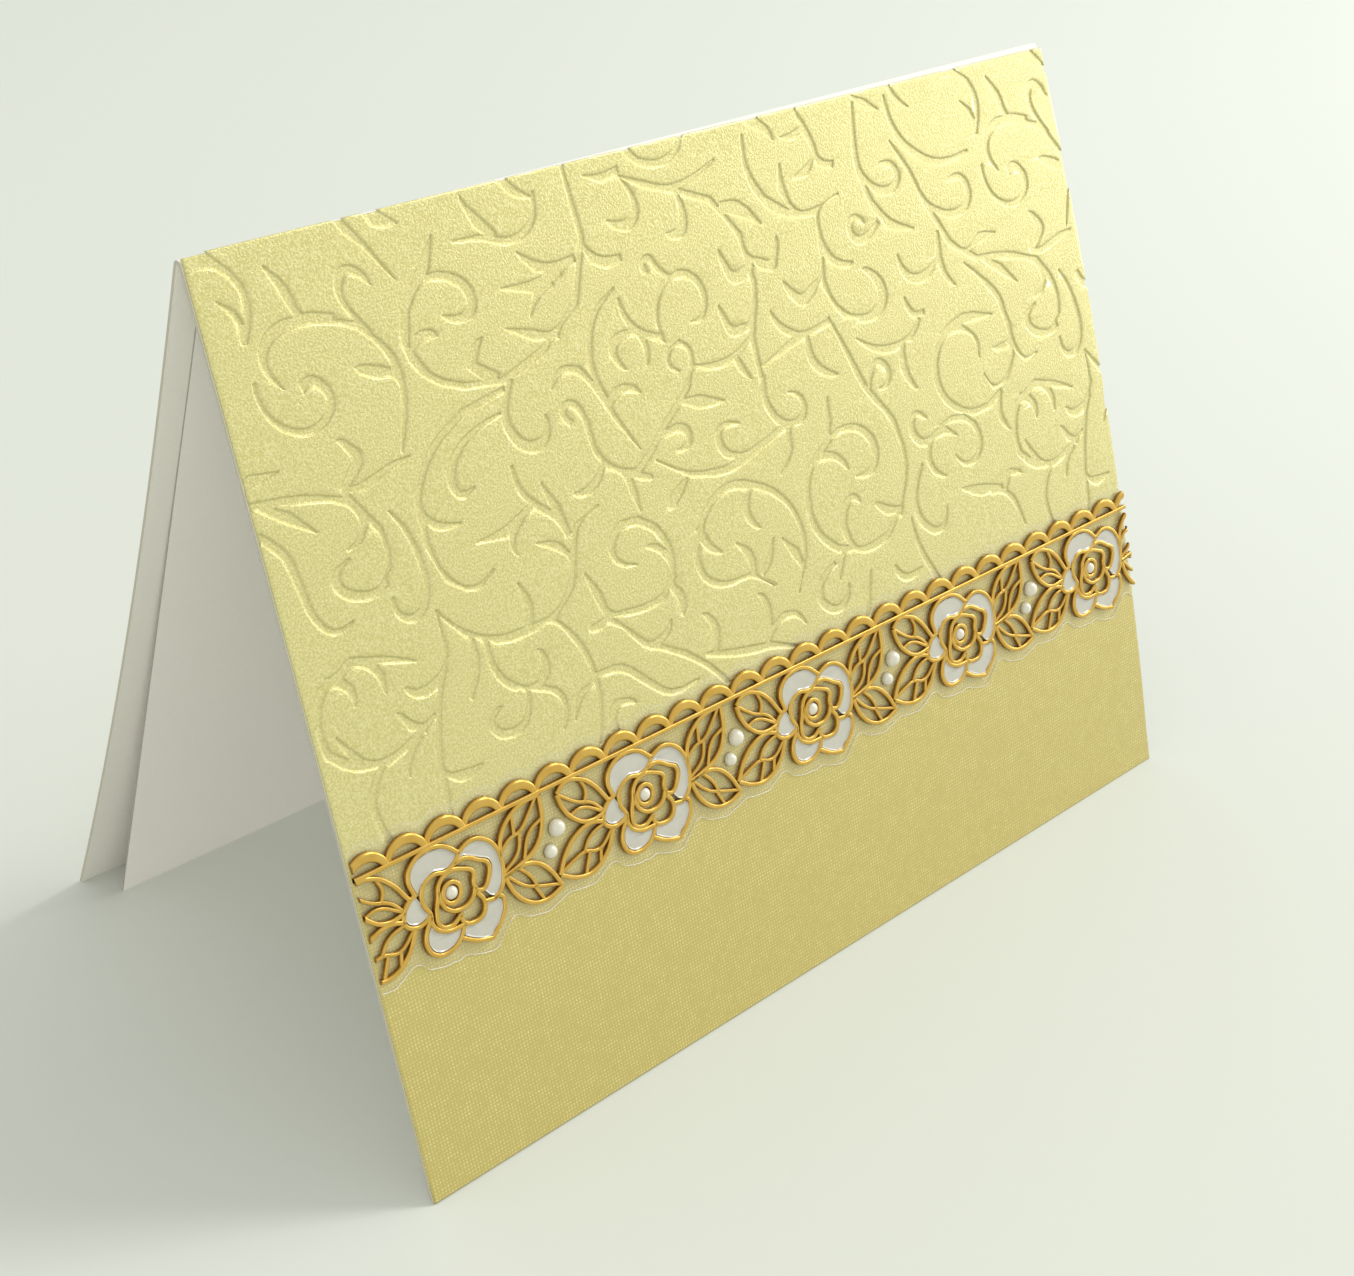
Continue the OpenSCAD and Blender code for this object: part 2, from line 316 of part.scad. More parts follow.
// Border strip: one square of its grid is a share of the rose unit. Points are from the rose's centre,
// to the right and down, in grid squares.
border_share = 1 / 30;
bead = rose_pitch * border_share;
petal_top_shares = [[-5, -2], [-5.3, -4], [-4.1, -5.6], [-2, -6.2], [0.1, -5.8], [2, -4.2]];
petal_right_shares = [[1.9, -4.2], [4, -4.9], [5.9, -4.2], [7.1, -2.6], [7.4, -1], [7.2, 0.8], [6.5, 2.3], [5.2, 3]];
petal_low_right_shares = [[5.2, 3], [6.2, 3], [6.5, 4.1], [5.7, 5.7], [3.8, 7.4]];
petal_tip_shares = [[3.8, 7.4], [1.7, 6.8], [-0.2, 5.6]];
petal_low_left_shares = [[-3.5, 1.5], [-4.7, 3.2], [-4.9, 4.6], [-4.1, 6], [-2.4, 6.4], [-0.7, 5.8], [0.6, 4.2]];
petal_left_shares = [[-4.7, -1.9], [-5.9, -1.4], [-6.9, -0.2], [-7.1, 0.8], [-5.9, 1.8], [-4.4, 1.7], [-3.5, 1.1]];
inner_left_shares = [[-3.5, 1.1], [-4.2, -0.8], [-3.6, -2.4], [-2, -3.1], [-0.3, -2.8], [1, -3.2]];
inner_right_shares = [[1, -3.2], [2.5, -3.3], [4.3, -2.3], [5.5, -1.4], [5.2, 0.2], [4.1, 1.3], [3.2, 1]];
inner_low_shares = [[0.3, 2.6], [0.6, 4], [1.9, 4.5], [3.4, 4.1], [3.9, 2.8], [3.1, 1.2]];
inner_low_left_shares = [[-3.5, 1.1], [-3.5, 2.6], [-2.1, 3.9], [0.6, 4.2]];
function turned(points) = [for (i = [len(points) - 1:-1:0]) points[i]];
function later(points) = [for (i = [1:len(points) - 1]) points[i]];

// White fields of the rose, each closed by the gold lines round it
petal_field_shares = [
    concat(petal_top_shares, turned(inner_left_shares)),
    concat(petal_right_shares, turned(inner_right_shares)),
    concat(petal_low_right_shares, later(petal_tip_shares), [[0.6, 4.2], [1.9, 4.5], [3.4, 4.1], [3.9, 2.8]]),
    concat(petal_low_left_shares, turned(inner_low_left_shares)),
    concat(petal_left_shares, [[-4.2, -0.8]])
];

// Heart of the rose, and the lines that wind round its eye
heart_shares = concat(inner_left_shares, later(inner_right_shares), turned(later(inner_low_shares)),
    turned(inner_low_left_shares));
spiral_shares = [
    [[-1.8, 0.4], [-2, -0.7], [-1.4, -1.9], [0.1, -2.6], [1.9, -2.2], [3.3, -1.2], [3.2, 1]],
    [[-1.8, 0.4], [-0.9, 1.8], [0.7, 2.3], [2.3, 1.8], [3.2, 1]],
    [[-1.8, 0.4], [-2.6, 1.6], [-2.6, 3], [-1.2, 3.6], [0.4, 3]],
    [[0.6, 4], [0.4, 2.3]]
];

// Leaves of the border: upper edge, midrib and lower edge, from the rose outward
sprig_shares = [
    [[[7.3, -1.4], [8.1, -3.7], [10.1, -5.6], [12.3, -6.3], [14.5, -6.3]],
        [[7.4, -0.9], [9.4, -2.4], [11.4, -3.4], [14.5, -6.3]],
        [[7.2, 1.2], [9.8, 0.7], [12.5, -0.4], [14.1, -2.8], [14.5, -6.3]]],
    [[[7.2, 1.2], [9.7, 0.9], [11.8, 1.3], [13.6, 2.9], [15, 5.6]],
        [[7.2, 1.2], [9.8, 3.4], [11.5, 4.2], [15, 5.6]],
        [[7.2, 1.2], [8.4, 4], [10.3, 5.8], [12.5, 6.3], [15, 5.6]]],
    [[[-5.7, -1.6], [-7.7, -4.6], [-9.5, -5.9], [-11.7, -6.2], [-13, -5.3]],
        [[-6.2, -1], [-8.2, -2.3], [-10.4, -3.3], [-13, -5.3]],
        [[-6.7, -0.4], [-9.2, -0.3], [-11.2, -1.4], [-12.5, -3.3], [-13, -5.3]]],
    [[[-6.9, 0.6], [-9.2, 0], [-11.5, 0.6], [-13.4, 2], [-15, 4.3]],
        [[-6.3, 1.4], [-8.5, 3.4], [-10.8, 3.1], [-15, 4.3]],
        [[-5.8, 1.9], [-7.8, 4.7], [-10.2, 5.9], [-12.7, 5.6], [-15, 4.3]]]
];

// Pearls: place from the rose's centre, and diameter as a share of the large pearl
pearl_shares = [[[16.2, -1.3], 1], [[14.6, 1.1], 0.8], [[-0.1, -0.1], 0.75]];
eye_share = 1.25;
eye_place_shares = [-0.1, -0.1];

// Lowest place, below the rose centres, at which the film is whole from end to end
film_low_share = 3;

// Straight gold line that carries the scallops, above the rose centres
band_rise_share = 6.6;
band_rise = band_rise_share * bead;

// Scallops are crescents between two arcs. Each arc is its radius and the depth of its centre below the line,
// as shares of the scallop's pitch.
scallop_out_shares = [0.588, 0.137];
scallop_in_shares = [0.458, 0.19];

// Strokes are drawn thin and then grown to their width, which rounds the places where they cross
grow_share = 0.2;

// Point on a smooth curve through the points p, at place t counted in spans
function before(p) = 2 * p[0] - p[1];
function after(p) = 2 * p[len(p) - 1] - p[len(p) - 2];
function knot(p, i) = i < 0 ? before(p) : i >= len(p) ? after(p) : p[i];
function curve(p, t) =
    let (
        i = max(0, min(floor(t), len(p) - 2)),
        f = t - i,
        a = knot(p, i - 1),
        b = p[i],
        c = p[i + 1],
        d = knot(p, i + 2)
    )
    b + f / 2 * (c - a + f * (2 * a - 5 * b + 4 * c - d + f * (3 * b - a - 3 * c + d)));

// Width at share t of a stroke, by a parabola through the start, the belly and the end
function belly(w, t) =
    let (s = len(w) < 4 ? t : pow(t, ln(0.5) / ln(w[3])))
    w[0] * (1 - s) * (1 - 2 * s) + 4 * w[1] * s * (1 - s) + w[2] * s * (2 * s - 1);

// Unit vector square to the curve at place t
step_share = 0.01;
function across(p, t) =
    let (v = curve(p, t + step_share) - curve(p, t - step_share))
    [-v[1], v[0]] / norm(v);

// Outline of a stroke of varying width along a smooth curve
function stroke(w, p, n) =
    let (
        spans = len(p) - 1,
        near = [for (i = [0:n]) curve(p, spans * i / n) + across(p, spans * i / n) * belly(w, i / n) / 2],
        far = [for (i = [n:-1:0]) curve(p, spans * i / n) - across(p, spans * i / n) * belly(w, i / n) / 2]
    )
    concat(near, far);

function grown(w) = [for (i = [0:len(w) - 1]) i < 3 ? w[i] * (1 - grow_share) : w[i]];

// Number of steps along a stroke, from how far its centre line turns
bend_step = 36;
function corner(a, b) = acos(min(1, max(-1, a * b / norm(a) / norm(b))));
function turning(p, i = 1) = i > len(p) - 2 ? 0 : corner(p[i] - p[i - 1], p[i + 1] - p[i]) + turning(p, i + 1);
function stroke_steps(p) = len(p) == 2 ? 1 : max(len(p) == 3 ? 2 : 4, ceil(turning(p) / bend_step) + 1);

// Layer on the front panel between two heights above its face: x across, y up from its foot
module on_front(low, high) {
    translate([0, front_foot[0] - mid_y, 0])
        rotate([90 - front_lean, 0, 0])
            translate([0, 0, low])
                linear_extrude(high - low)
                    children();
}

// Outline in the side view, drawn across the card over the width w
module across_card(w) {
    translate([-w / 2, -mid_y, -floor_z])
        rotate([90, 0, 90])
            linear_extrude(w)
                children();
}

// Part of a ring about mid, between two radii and two angles
module ring_part(mid, r_in, r_out, from, to) {
    reach = r_out + overrun;
    half = (from + to) / 2;
    translate(mid)
        intersection() {
            difference() {
                circle(r_out, $fn = bow_sides);
                circle(r_in, $fn = bow_sides);
            }
            polygon([[0, 0], reach * [cos(from), sin(from)], reach * [cos(half), sin(half)] / cos(half - from),
                reach * [cos(to), sin(to)]]);
        }
}

// Everything in the side view that lies above the floor
module above_floor() {
    intersection() {
        children();
        translate([-front_h, floor_z])
            square([2 * front_h + back_h, front_h + back_h]);
    }
}

module card_base() {
    back_reach = 2 * back_half + overrun / back_r * 180 / PI;
    color("white")
        across_card(card_w)
            above_floor() {
                rotate(180 - front_lean)
                    translate([fold_r, 0])
                        square([stock_t, front_h + overrun]);
                ring_part([0, 0], fold_r, fold_out_r, back_top_lean - bend_lap, 180 - front_lean + bend_lap);
                ring_part(back_mid, back_r, back_r + stock_t, 180 + back_top_lean,
                    180 + back_top_lean + back_reach);
            }
}

module insert_leaf() {
    start = back_top_lean + insert_drop / insert_r * 180 / PI;
    color("snow")
        across_card(card_w - 2 * insert_inset)
            above_floor() {
                ring_part(back_mid, insert_r, insert_r + insert_t, 180 + start, 180 + leaf_lean);
                translate(back_mid)
                    rotate(180 + leaf_lean)
                        translate([insert_r, 0])
                            square([insert_t, leaf_len]);
            }
}

// The scroll pattern seen from the front, in its field below the fold
module scroll_outline() {
    copies = ceil(card_w / scroll_repeat);
    intersection() {
        translate([-card_w / 2 - overrun, front_h - field_h])
            square([card_w + 2 * overrun, field_h + overrun]);
        offset(delta = grow_share / 2 * grid + press_spread / 2)
            for (k = [0:copies - 1], s = concat(stem_shares, leaf_shares))
                if (s[1][0][0] * grid + k * scroll_repeat < card_w + overrun)
                    translate([k * scroll_repeat - card_w / 2, front_h])
                        mirror([0, 1])
                            scale(grid)
                                polygon(stroke(grown(s[0]), s[1], stroke_steps(s[1])));
    }
}

// The gold sheet seen from the front
module sheet_outline() {
    translate([sheet_margin - card_w / 2, sheet_margin])
        square([card_w - 2 * sheet_margin, front_h - sheet_margin - sheet_top_gap]);
}

module gold_sheet() {
    color("khaki")
        difference() {
            on_front(0, sheet_t)
                sheet_outline();
            on_front(sheet_t - deboss_d, sheet_t + overrun)
                scroll_outline();
        }
}

// Calls its children once for each rose unit, at the rose's centre with y down
module each_rose() {
    first = -ceil(rose_start / rose_pitch);
    last = ceil((card_w - rose_start) / rose_pitch);
    for (k = [first:last])
        translate([rose_start + k * rose_pitch - card_w / 2, rose_rise])
            mirror([0, 1])
                children();
}

// Calls its children once for each scallop, at the middle of its foot
module each_scallop() {
    count = ceil(card_w / scallop_pitch);
    for (k = [-1:count])
        translate([scallop_start + k * scallop_pitch - card_w / 2, rose_rise + band_rise])
            children();
}

// Disc that draws one arc of a scallop
module scallop_disc(shares) {
    translate([0, -shares[1] * scallop_pitch])
        circle(shares[0] * scallop_pitch, $fn = scallop_sides);
}

// Keeps what lies on the gold sheet
module on_sheet() {
    intersection() {
        children();
        sheet_outline();
    }
}

// One closed field of the border, drawn to the middle of the lines round it
module field(points, grow) {
    offset(delta = grow)
        scale(bead)
            polygon(points);
}

// Gold lines of the rose and its leaves: their outline less the fields that they close
module rose_lines() {
    half = line_w / 2;
    core = line_w / bead;
    eye_r = eye_share * bead;
    difference() {
        union() {
            for (p = concat(petal_field_shares, [heart_shares]))
                field(p, half);
            for (s = sprig_shares)
                field(concat(s[0], turned(s[2])), half);
        }
        for (p = concat(petal_field_shares, [heart_shares]))
            field(p, -half);
        for (s = sprig_shares) {
            field(concat(s[0], turned(s[1])), -half);
            field(concat(s[1], turned(s[2])), -half);
        }
    }
    scale(bead)
        for (p = spiral_shares)
            polygon(stroke([core, core, core], p, stroke_steps(p)));
    translate(bead * eye_place_shares)
        difference() {
            circle(eye_r + half, $fn = eye_sides);
            circle(eye_r - half, $fn = eye_sides);
        }
}

// Gold lines of the border seen from the front
module line_outline() {
    on_sheet() {
        each_rose()
            rose_lines();
        each_scallop()
            intersection() {
                difference() {
                    scallop_disc(scallop_out_shares);
                    scallop_disc(scallop_in_shares);
                }
                translate([-scallop_pitch / 2, 0])
                    square([scallop_pitch, scallop_pitch]);
            }
        translate([-card_w / 2, rose_rise + band_rise - line_w / 2])
            square([card_w, line_w]);
    }
}

module petal_outline() {
    on_sheet()
        each_rose()
            for (p = petal_field_shares)
                field(p, -line_w / 2 - petal_gap);
}

// The film runs round the gold lines with an even margin, and rounds over the hollows between them
module film_outline() {
    on_sheet()
        offset(r = -film_margin, $fn = film_sides)
            offset(r = 2 * film_margin, $fn = film_sides) {
                each_rose() {
                    for (p = petal_field_shares)
                        field(p, line_w / 2);
                    for (s = sprig_shares)
                        field(concat(s[0], turned(s[2])), line_w / 2);
                }
                each_scallop()
                    scallop_disc(scallop_out_shares);
                translate([-card_w / 2 - film_margin, rose_rise - film_low_share * bead])
                    square([card_w + 2 * film_margin, band_rise + film_low_share * bead]);
            }
}

module strip_film() {
    color("whitesmoke", 0.4)
        on_front(sheet_t, film_top)
            film_outline();
}

module strip_lines() {
    color("goldenrod")
        on_front(film_top, film_top + line_t)
            line_outline();
}

module strip_petals() {
    color("ivory")
        on_front(film_top, film_top + petal_t)
            petal_outline();
}

// Domed pearls, each half a ball that stands on the film
module strip_pearls() {
    last = floor((card_w - rose_start) / rose_pitch);
    color("floralwhite")
        translate([0, front_foot[0] - mid_y, 0])
            rotate([90 - front_lean, 0, 0])
                for (k = [-1:last], q = pearl_shares) {
                    x = rose_start + k * rose_pitch + bead * q[0][0] - card_w / 2;
                    d = pearl_d * q[1];
                    if (abs(x) + d / 2 + sheet_margin < card_w / 2)
                        translate([x, rose_rise - bead * q[0][1], film_top])
                            rotate_extrude($fn = pearl_sides)
                                intersection() {
                                    circle(d = d, $fn = pearl_sides);
                                    square(d);
                                }
                }
}

card_base();
gold_sheet();
insert_leaf();
strip_film();
strip_lines();
strip_petals();
strip_pearls();
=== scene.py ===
# Looks of the tent-fold greeting card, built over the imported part
import math

import bpy
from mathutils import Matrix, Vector
from mathutils.kdtree import KDTree


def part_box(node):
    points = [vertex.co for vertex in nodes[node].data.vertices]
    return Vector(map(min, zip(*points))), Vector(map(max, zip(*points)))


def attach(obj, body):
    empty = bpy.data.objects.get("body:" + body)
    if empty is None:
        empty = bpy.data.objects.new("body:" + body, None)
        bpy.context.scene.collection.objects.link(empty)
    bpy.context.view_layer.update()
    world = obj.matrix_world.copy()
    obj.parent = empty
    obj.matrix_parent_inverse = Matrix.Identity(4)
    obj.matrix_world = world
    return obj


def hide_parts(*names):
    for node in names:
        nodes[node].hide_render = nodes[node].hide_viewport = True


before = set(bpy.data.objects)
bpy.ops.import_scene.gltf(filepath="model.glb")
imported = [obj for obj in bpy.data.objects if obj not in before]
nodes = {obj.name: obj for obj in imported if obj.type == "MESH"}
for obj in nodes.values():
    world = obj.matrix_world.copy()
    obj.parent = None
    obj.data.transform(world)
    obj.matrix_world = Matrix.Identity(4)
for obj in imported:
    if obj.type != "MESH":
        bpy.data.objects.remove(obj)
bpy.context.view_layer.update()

# Sizes in millimetres, as in the part
MM = 0.001
CARD_W = 139.7
FRONT_H = 107.95
BACK_H = 106.6
LEAN = 21.5
STOCK = 0.45
FOLD_R = 0.3
BACK_BOW = 1.7
SHEET = 0.6
SIDE_EDGE = 0.1
TOP_EDGE = 0.2
FIELD_H = 66
FILM_TOP = 0.8
LINE = 0.6
PETAL_H = 0.35
PITCH = 29.6
FIRST_ROSE = 11.65
ROSE_RISE = 34
BEAD = PITCH / 30
BAND = ROSE_RISE + 6.6 * BEAD
SCALLOP = 5.32
FIRST_SCALLOP = 1.8
PEARL = 2.2

# Sizes in millimetres that only the looks have
# Bow of the front panel at its left and right edges
BOW_LEFT = 0.5
BOW_RIGHT = 2.0
# Depth of the scrolls, and how much higher the gold sheet's upper edge lies at the left than at the right
PRESSED = 0.2
ASKEW = 1.0
# Round edge of the ground between the scrolls, and how far the ground reaches into the floor under them
GROUND_EDGE = 0.18
GROUND_SUNK = 0.22
# Gap between the film and the paper
FILM_LIFT = 0.04
# Width of the leaves' veins
VEIN = LINE * 0.8
# Width of a scallop's crescent, and the width at which one would be as high as a line
SCALLOP_W = 0.974
SCALLOP_FULL = 1.07
# Height of the petals' rim over the film, and width and depth of the slope inside it
PETAL_RIM = 0.45
SLOPE_W = 0.16
SLOPE_D = 0.12

# Cuts across the panel, which let a piece follow its bow
CUTS = 24

# Foot of the front panel, where the panel's own x, y and z start
FOOT_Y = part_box("card_base")[0].y


# Small helpers

def only(piece):
    """Makes one piece the only selected and active object."""
    if bpy.context.mode != "OBJECT":
        bpy.ops.object.mode_set(mode="OBJECT")
    bpy.ops.object.select_all(action="DESELECT")
    piece.select_set(True)
    bpy.context.view_layer.objects.active = piece


def settle(piece):
    """Puts a piece's place, turn and scale into its mesh."""
    only(piece)
    bpy.ops.object.transform_apply(location=True, rotation=True, scale=True)


def stand_on_panel(piece):
    """Stands a piece that was modelled flat, x across and y up, on the leaning front panel."""
    piece.rotation_euler = (math.radians(90 - LEAN), 0, 0)
    piece.location = (0, FOOT_Y, 0)


def finish_modifier(piece, kind, **settings):
    """Adds a modifier with its settings and applies it."""
    only(piece)
    made = piece.modifiers.new(kind.lower(), kind)
    for name, value in settings.items():
        setattr(made, name, value)
    bpy.ops.object.modifier_apply(modifier=made.name)


def pick(piece, test):
    """Goes into edit mode with the vertices selected whose place passes the test."""
    only(piece)
    bpy.ops.object.mode_set(mode="EDIT")
    bpy.ops.mesh.select_mode(type="VERT")
    bpy.ops.mesh.select_all(action="DESELECT")
    bpy.ops.object.mode_set(mode="OBJECT")
    piece.data.vertices.foreach_set("select", [test(v.co) for v in piece.data.vertices])
    bpy.ops.object.mode_set(mode="EDIT")
    bpy.ops.mesh.select_mode(type="VERT")


def join(pieces, name):
    """Joins pieces into one."""
    only(pieces[0])
    for piece in pieces:
        piece.select_set(True)
    bpy.ops.object.join()
    pieces[0].name = name
    return pieces[0]


def copied(piece, shift):
    """Copies a piece with its own mesh, moved across the card."""
    only(piece)
    bpy.ops.object.duplicate(linked=False)
    twin = bpy.context.object
    twin.location.x += shift
    settle(twin)
    return twin


def linear(code):
    """Turns an sRGB hex colour into linear red, green, blue and alpha."""
    parts = [int(code[i:i + 2], 16) / 255 for i in (1, 3, 5)]
    return [c / 12.92 if c <= 0.04045 else ((c + 0.055) / 1.055) ** 2.4 for c in parts] + [1.0]


def add(tree, kind, inputs=None, **settings):
    """Adds a node with its settings, and with values or links on its inputs."""
    made = tree.nodes.new(kind)
    for name, value in settings.items():
        setattr(made, name, value)
    for name, value in (inputs or {}).items():
        if isinstance(value, bpy.types.NodeSocket):
            tree.links.new(value, made.inputs[name])
        else:
            made.inputs[name].default_value = value
    return made


def new_material(name):
    """Starts a material with its shader, and returns it with its tree and shader."""
    made = bpy.data.materials.new(name)
    made.use_nodes = True
    tree = made.node_tree
    return made, tree, tree.nodes["Principled BSDF"]


# Camera, at the place from which the photograph was taken

camera_data = bpy.data.cameras.new("camera")
camera_data.sensor_fit = "HORIZONTAL"
camera_data.sensor_width = 36
camera_data.lens = 55.99
camera_data.clip_start = 0.01
camera = bpy.data.objects.new("camera", camera_data)
bpy.context.collection.objects.link(camera)
camera.location = (-175.615 * MM, -173.80 * MM, 181.99 * MM)
camera.rotation_euler = [math.radians(a) for a in (58.431, -3.154, -43.918)]
bpy.context.scene.camera = camera


# Gentle bow of the front panel: it grows from the left edge to the right edge

bpy.ops.object.select_all(action="DESELECT")
bpy.ops.object.add(type="LATTICE")
bow = bpy.context.object
bow.data.interpolation_type_u = "KEY_LINEAR"
bow.data.interpolation_type_v = "KEY_CATMULL_ROM"
bow.data.interpolation_type_w = "KEY_LINEAR"
bow.data.points_u = 2
bow.data.points_v = 9
bow.data.points_w = 2
BOW_DEPTH = 10 * MM
for point in bow.data.points:
    up = 2 * point.co.y
    at_edge = BOW_LEFT if point.co.x < 0 else BOW_RIGHT
    point.co_deform.z = point.co.z + at_edge * MM * (1 - up * up) / BOW_DEPTH
stand_on_panel(bow)
bpy.context.view_layer.update()
bow.location = bow.matrix_world @ Vector((0, FRONT_H / 2 * MM, 0))
bow.scale = (CARD_W * MM, FRONT_H * MM, BOW_DEPTH)
bpy.context.view_layer.update()


# White base: a flat panel, spun round the fold and then along the bow of the back

def make_base():
    """Makes the folded base as one sheet, thickened inwards and cut flat where it stands."""
    back_r = (BACK_H ** 2 / 4 + BACK_BOW ** 2) / (2 * BACK_BOW)
    back_half = math.degrees(math.asin(BACK_H / 2 / back_r))
    only(bow)
    bpy.ops.mesh.primitive_grid_add(x_subdivisions=CUTS, y_subdivisions=CUTS, size=MM)
    base = bpy.context.object
    base.name = "folded_card"
    base.scale = (CARD_W, FRONT_H, 1)
    base.location = (0, FRONT_H / 2 * MM, 0)
    settle(base)
    stand_on_panel(base)
    settle(base)
    up = math.radians(LEAN)
    top = (FOOT_Y + FRONT_H * MM * math.sin(up), FRONT_H * MM * math.cos(up))
    out_r = (FOLD_R + STOCK) * MM
    bend = (top[0] + out_r * math.cos(up), top[1] - out_r * math.sin(up))
    back_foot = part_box("card_base")[1].y
    lean_back = math.degrees(math.atan2(back_foot - bend[0], bend[1]))
    # Leans the back until it ends where the part's back does
    for _ in range(30):
        start = math.radians(lean_back - back_half)
        reach_y = bend[0] + out_r * math.cos(start) + BACK_H * MM * math.sin(math.radians(lean_back))
        lean_back += math.degrees((back_foot - reach_y) / (BACK_H * MM))
    first = math.radians(lean_back - back_half)
    pick(base, lambda co: co.z > top[1] - 0.02 * MM)
    bpy.ops.mesh.spin(steps=10, angle=math.pi - up - first, center=(0, bend[0], bend[1]), axis=(1, 0, 0))
    back_top = (bend[0] + out_r * math.cos(first), bend[1] + out_r * math.sin(first))
    middle = (back_top[0] + back_r * MM * math.cos(first), back_top[1] + back_r * MM * math.sin(first))
    bpy.ops.mesh.spin(steps=24, angle=2 * math.radians(back_half), center=(0, middle[0], middle[1]), axis=(-1, 0, 0))
    bpy.ops.mesh.select_all(action="SELECT")
    bpy.ops.mesh.remove_doubles(threshold=0.001 * MM)
    bpy.ops.mesh.normals_make_consistent(inside=False)
    bpy.ops.object.mode_set(mode="OBJECT")
    front = base.vertex_groups.new(name="front")
    front.add([v.index for v in base.data.vertices if v.co.y < top[0] + 0.01 * MM], 1, "REPLACE")
    finish_modifier(base, "LATTICE", object=bow, vertex_group="front")
    finish_modifier(base, "SOLIDIFY", thickness=STOCK * MM, offset=-1)
    pick(base, lambda co: True)
    bpy.ops.mesh.bisect(plane_co=(0, 0, 0), plane_no=(0, 0, 1), use_fill=True, clear_inner=True)
    bpy.ops.object.mode_set(mode="OBJECT")
    bpy.ops.object.shade_smooth_by_angle(angle=math.radians(35))
    return base


base = make_base()


# Outlines of the part's flat pieces, drawn again as smooth curves

def blunt_tips(piece, least):
    """Takes off the points at which an outline doubles back more sharply than an angle."""
    spots = piece.data.vertices
    ends = [[] for _ in spots]
    for edge in piece.data.edges:
        a, b = edge.vertices
        ends[a].append(spots[b].co)
        ends[b].append(spots[a].co)
    keen = [len(near) == 2 and (near[0] - v.co).angle(near[1] - v.co, 9) < least for v, near in zip(spots, ends)]
    pick(piece, lambda co: False)
    bpy.ops.object.mode_set(mode="OBJECT")
    spots.foreach_set("select", keen)
    bpy.ops.object.mode_set(mode="EDIT")
    bpy.ops.mesh.dissolve_verts()
    bpy.ops.object.mode_set(mode="OBJECT")


def near_other(curve, reach):
    """Finds the points of a curve at which it runs close by another part of the outline."""
    spots = []
    for k, spline in enumerate(curve.data.splines):
        points = spline.bezier_points
        for i, point in enumerate(points):
            way = points[(i + 1) % len(points)].co - point.co
            steps = math.ceil(way.length / (reach / 2))
            spots += [(point.co + way * n / steps, k, i, n == 0) for n in range(steps)]
    tree = KDTree(len(spots))
    for n, spot in enumerate(spots):
        tree.insert(spot[0], n)
    tree.balance()
    found = set()
    for co, k, i, corner in spots:
        if not corner:
            continue
        count = len(curve.data.splines[k].bezier_points)
        for _, n, _ in tree.find_range(co, reach):
            other, at = spots[n][1:3]
            along = abs(at - i)
            if other != k or min(along, count - along) > 3:
                found |= {(k, i), (other, at), (other, (at + 1) % len(curve.data.splines[other].bezier_points))}
    return found


def smooth_outline(node, level, name):
    """Takes the outline of a part's upper face, laid flat, as a smooth filled curve through its points."""
    piece = bpy.data.objects.new(name, nodes[node].data.copy())
    bpy.context.collection.objects.link(piece)
    stand_on_panel(piece)
    bpy.context.view_layer.update()
    piece.matrix_world = piece.matrix_world.inverted()
    settle(piece)
    pick(piece, lambda co: True)
    bpy.ops.mesh.remove_doubles(threshold=0.004 * MM)
    # Only the walls stay, and of them only their upper edges
    bpy.ops.mesh.select_mode(type="FACE")
    bpy.ops.mesh.select_all(action="DESELECT")
    bpy.ops.object.mode_set(mode="OBJECT")
    piece.data.polygons.foreach_set("select", [abs(p.normal.z) > 0.5 for p in piece.data.polygons])
    bpy.ops.object.mode_set(mode="EDIT")
    bpy.ops.mesh.delete(type="FACE")
    pick(piece, lambda co: co.z > (level - 0.02) * MM)
    bpy.ops.mesh.select_mode(type="EDGE")
    bpy.ops.mesh.select_all(action="INVERT")
    bpy.ops.mesh.delete(type="EDGE")
    pick(piece, lambda co: True)
    bpy.ops.mesh.delete_loose(use_verts=True, use_edges=False, use_faces=False)
    pick(piece, lambda co: True)
    bpy.ops.mesh.remove_doubles(threshold=0.02 * MM)
    blunt_tips(piece, math.radians(16))
    pick(piece, lambda co: True)
    # A hair's turn keeps the ends of the strokes off one line, which the filling needs
    bpy.ops.transform.rotate(value=0.0006, orient_axis="Z", center_override=(0, 0, 0))
    bpy.ops.object.mode_set(mode="OBJECT")
    bpy.ops.object.convert(target="CURVE")
    curve = bpy.context.object
    bpy.ops.object.mode_set(mode="EDIT")
    bpy.ops.curve.select_all(action="SELECT")
    bpy.ops.curve.spline_type_set(type="BEZIER")
    bpy.ops.curve.handle_type_set(type="AUTOMATIC")
    bpy.ops.object.mode_set(mode="OBJECT")
    # Tips, ends at the sheet's edges and places where strokes nearly touch stay straight and sharp
    touching = near_other(curve, 0.6 * MM)
    wide = max(abs(p.co.x) for s in curve.data.splines for p in s.bezier_points)
    tall = max(p.co.y for s in curve.data.splines for p in s.bezier_points)
    for k, spline in enumerate(curve.data.splines):
        points = spline.bezier_points
        turns = [(p.co - points[i - 1].co).angle(points[(i + 1) % len(points)].co - p.co, 0)
            for i, p in enumerate(points)]
        for i, point in enumerate(points):
            sharp = turns[i] > math.radians(78)
            edge = abs(point.co.x) > wide - 1.2 * MM or point.co.y > tall - 0.12 * MM
            tip = max(turns[i - 1], turns[(i + 1) % len(points)]) > math.radians(125)
            if sharp or tip or edge or (k, i) in touching:
                point.handle_left_type = "VECTOR"
                point.handle_right_type = "VECTOR"
    curve.data.dimensions = "2D"
    curve.data.fill_mode = "BOTH"
    return curve


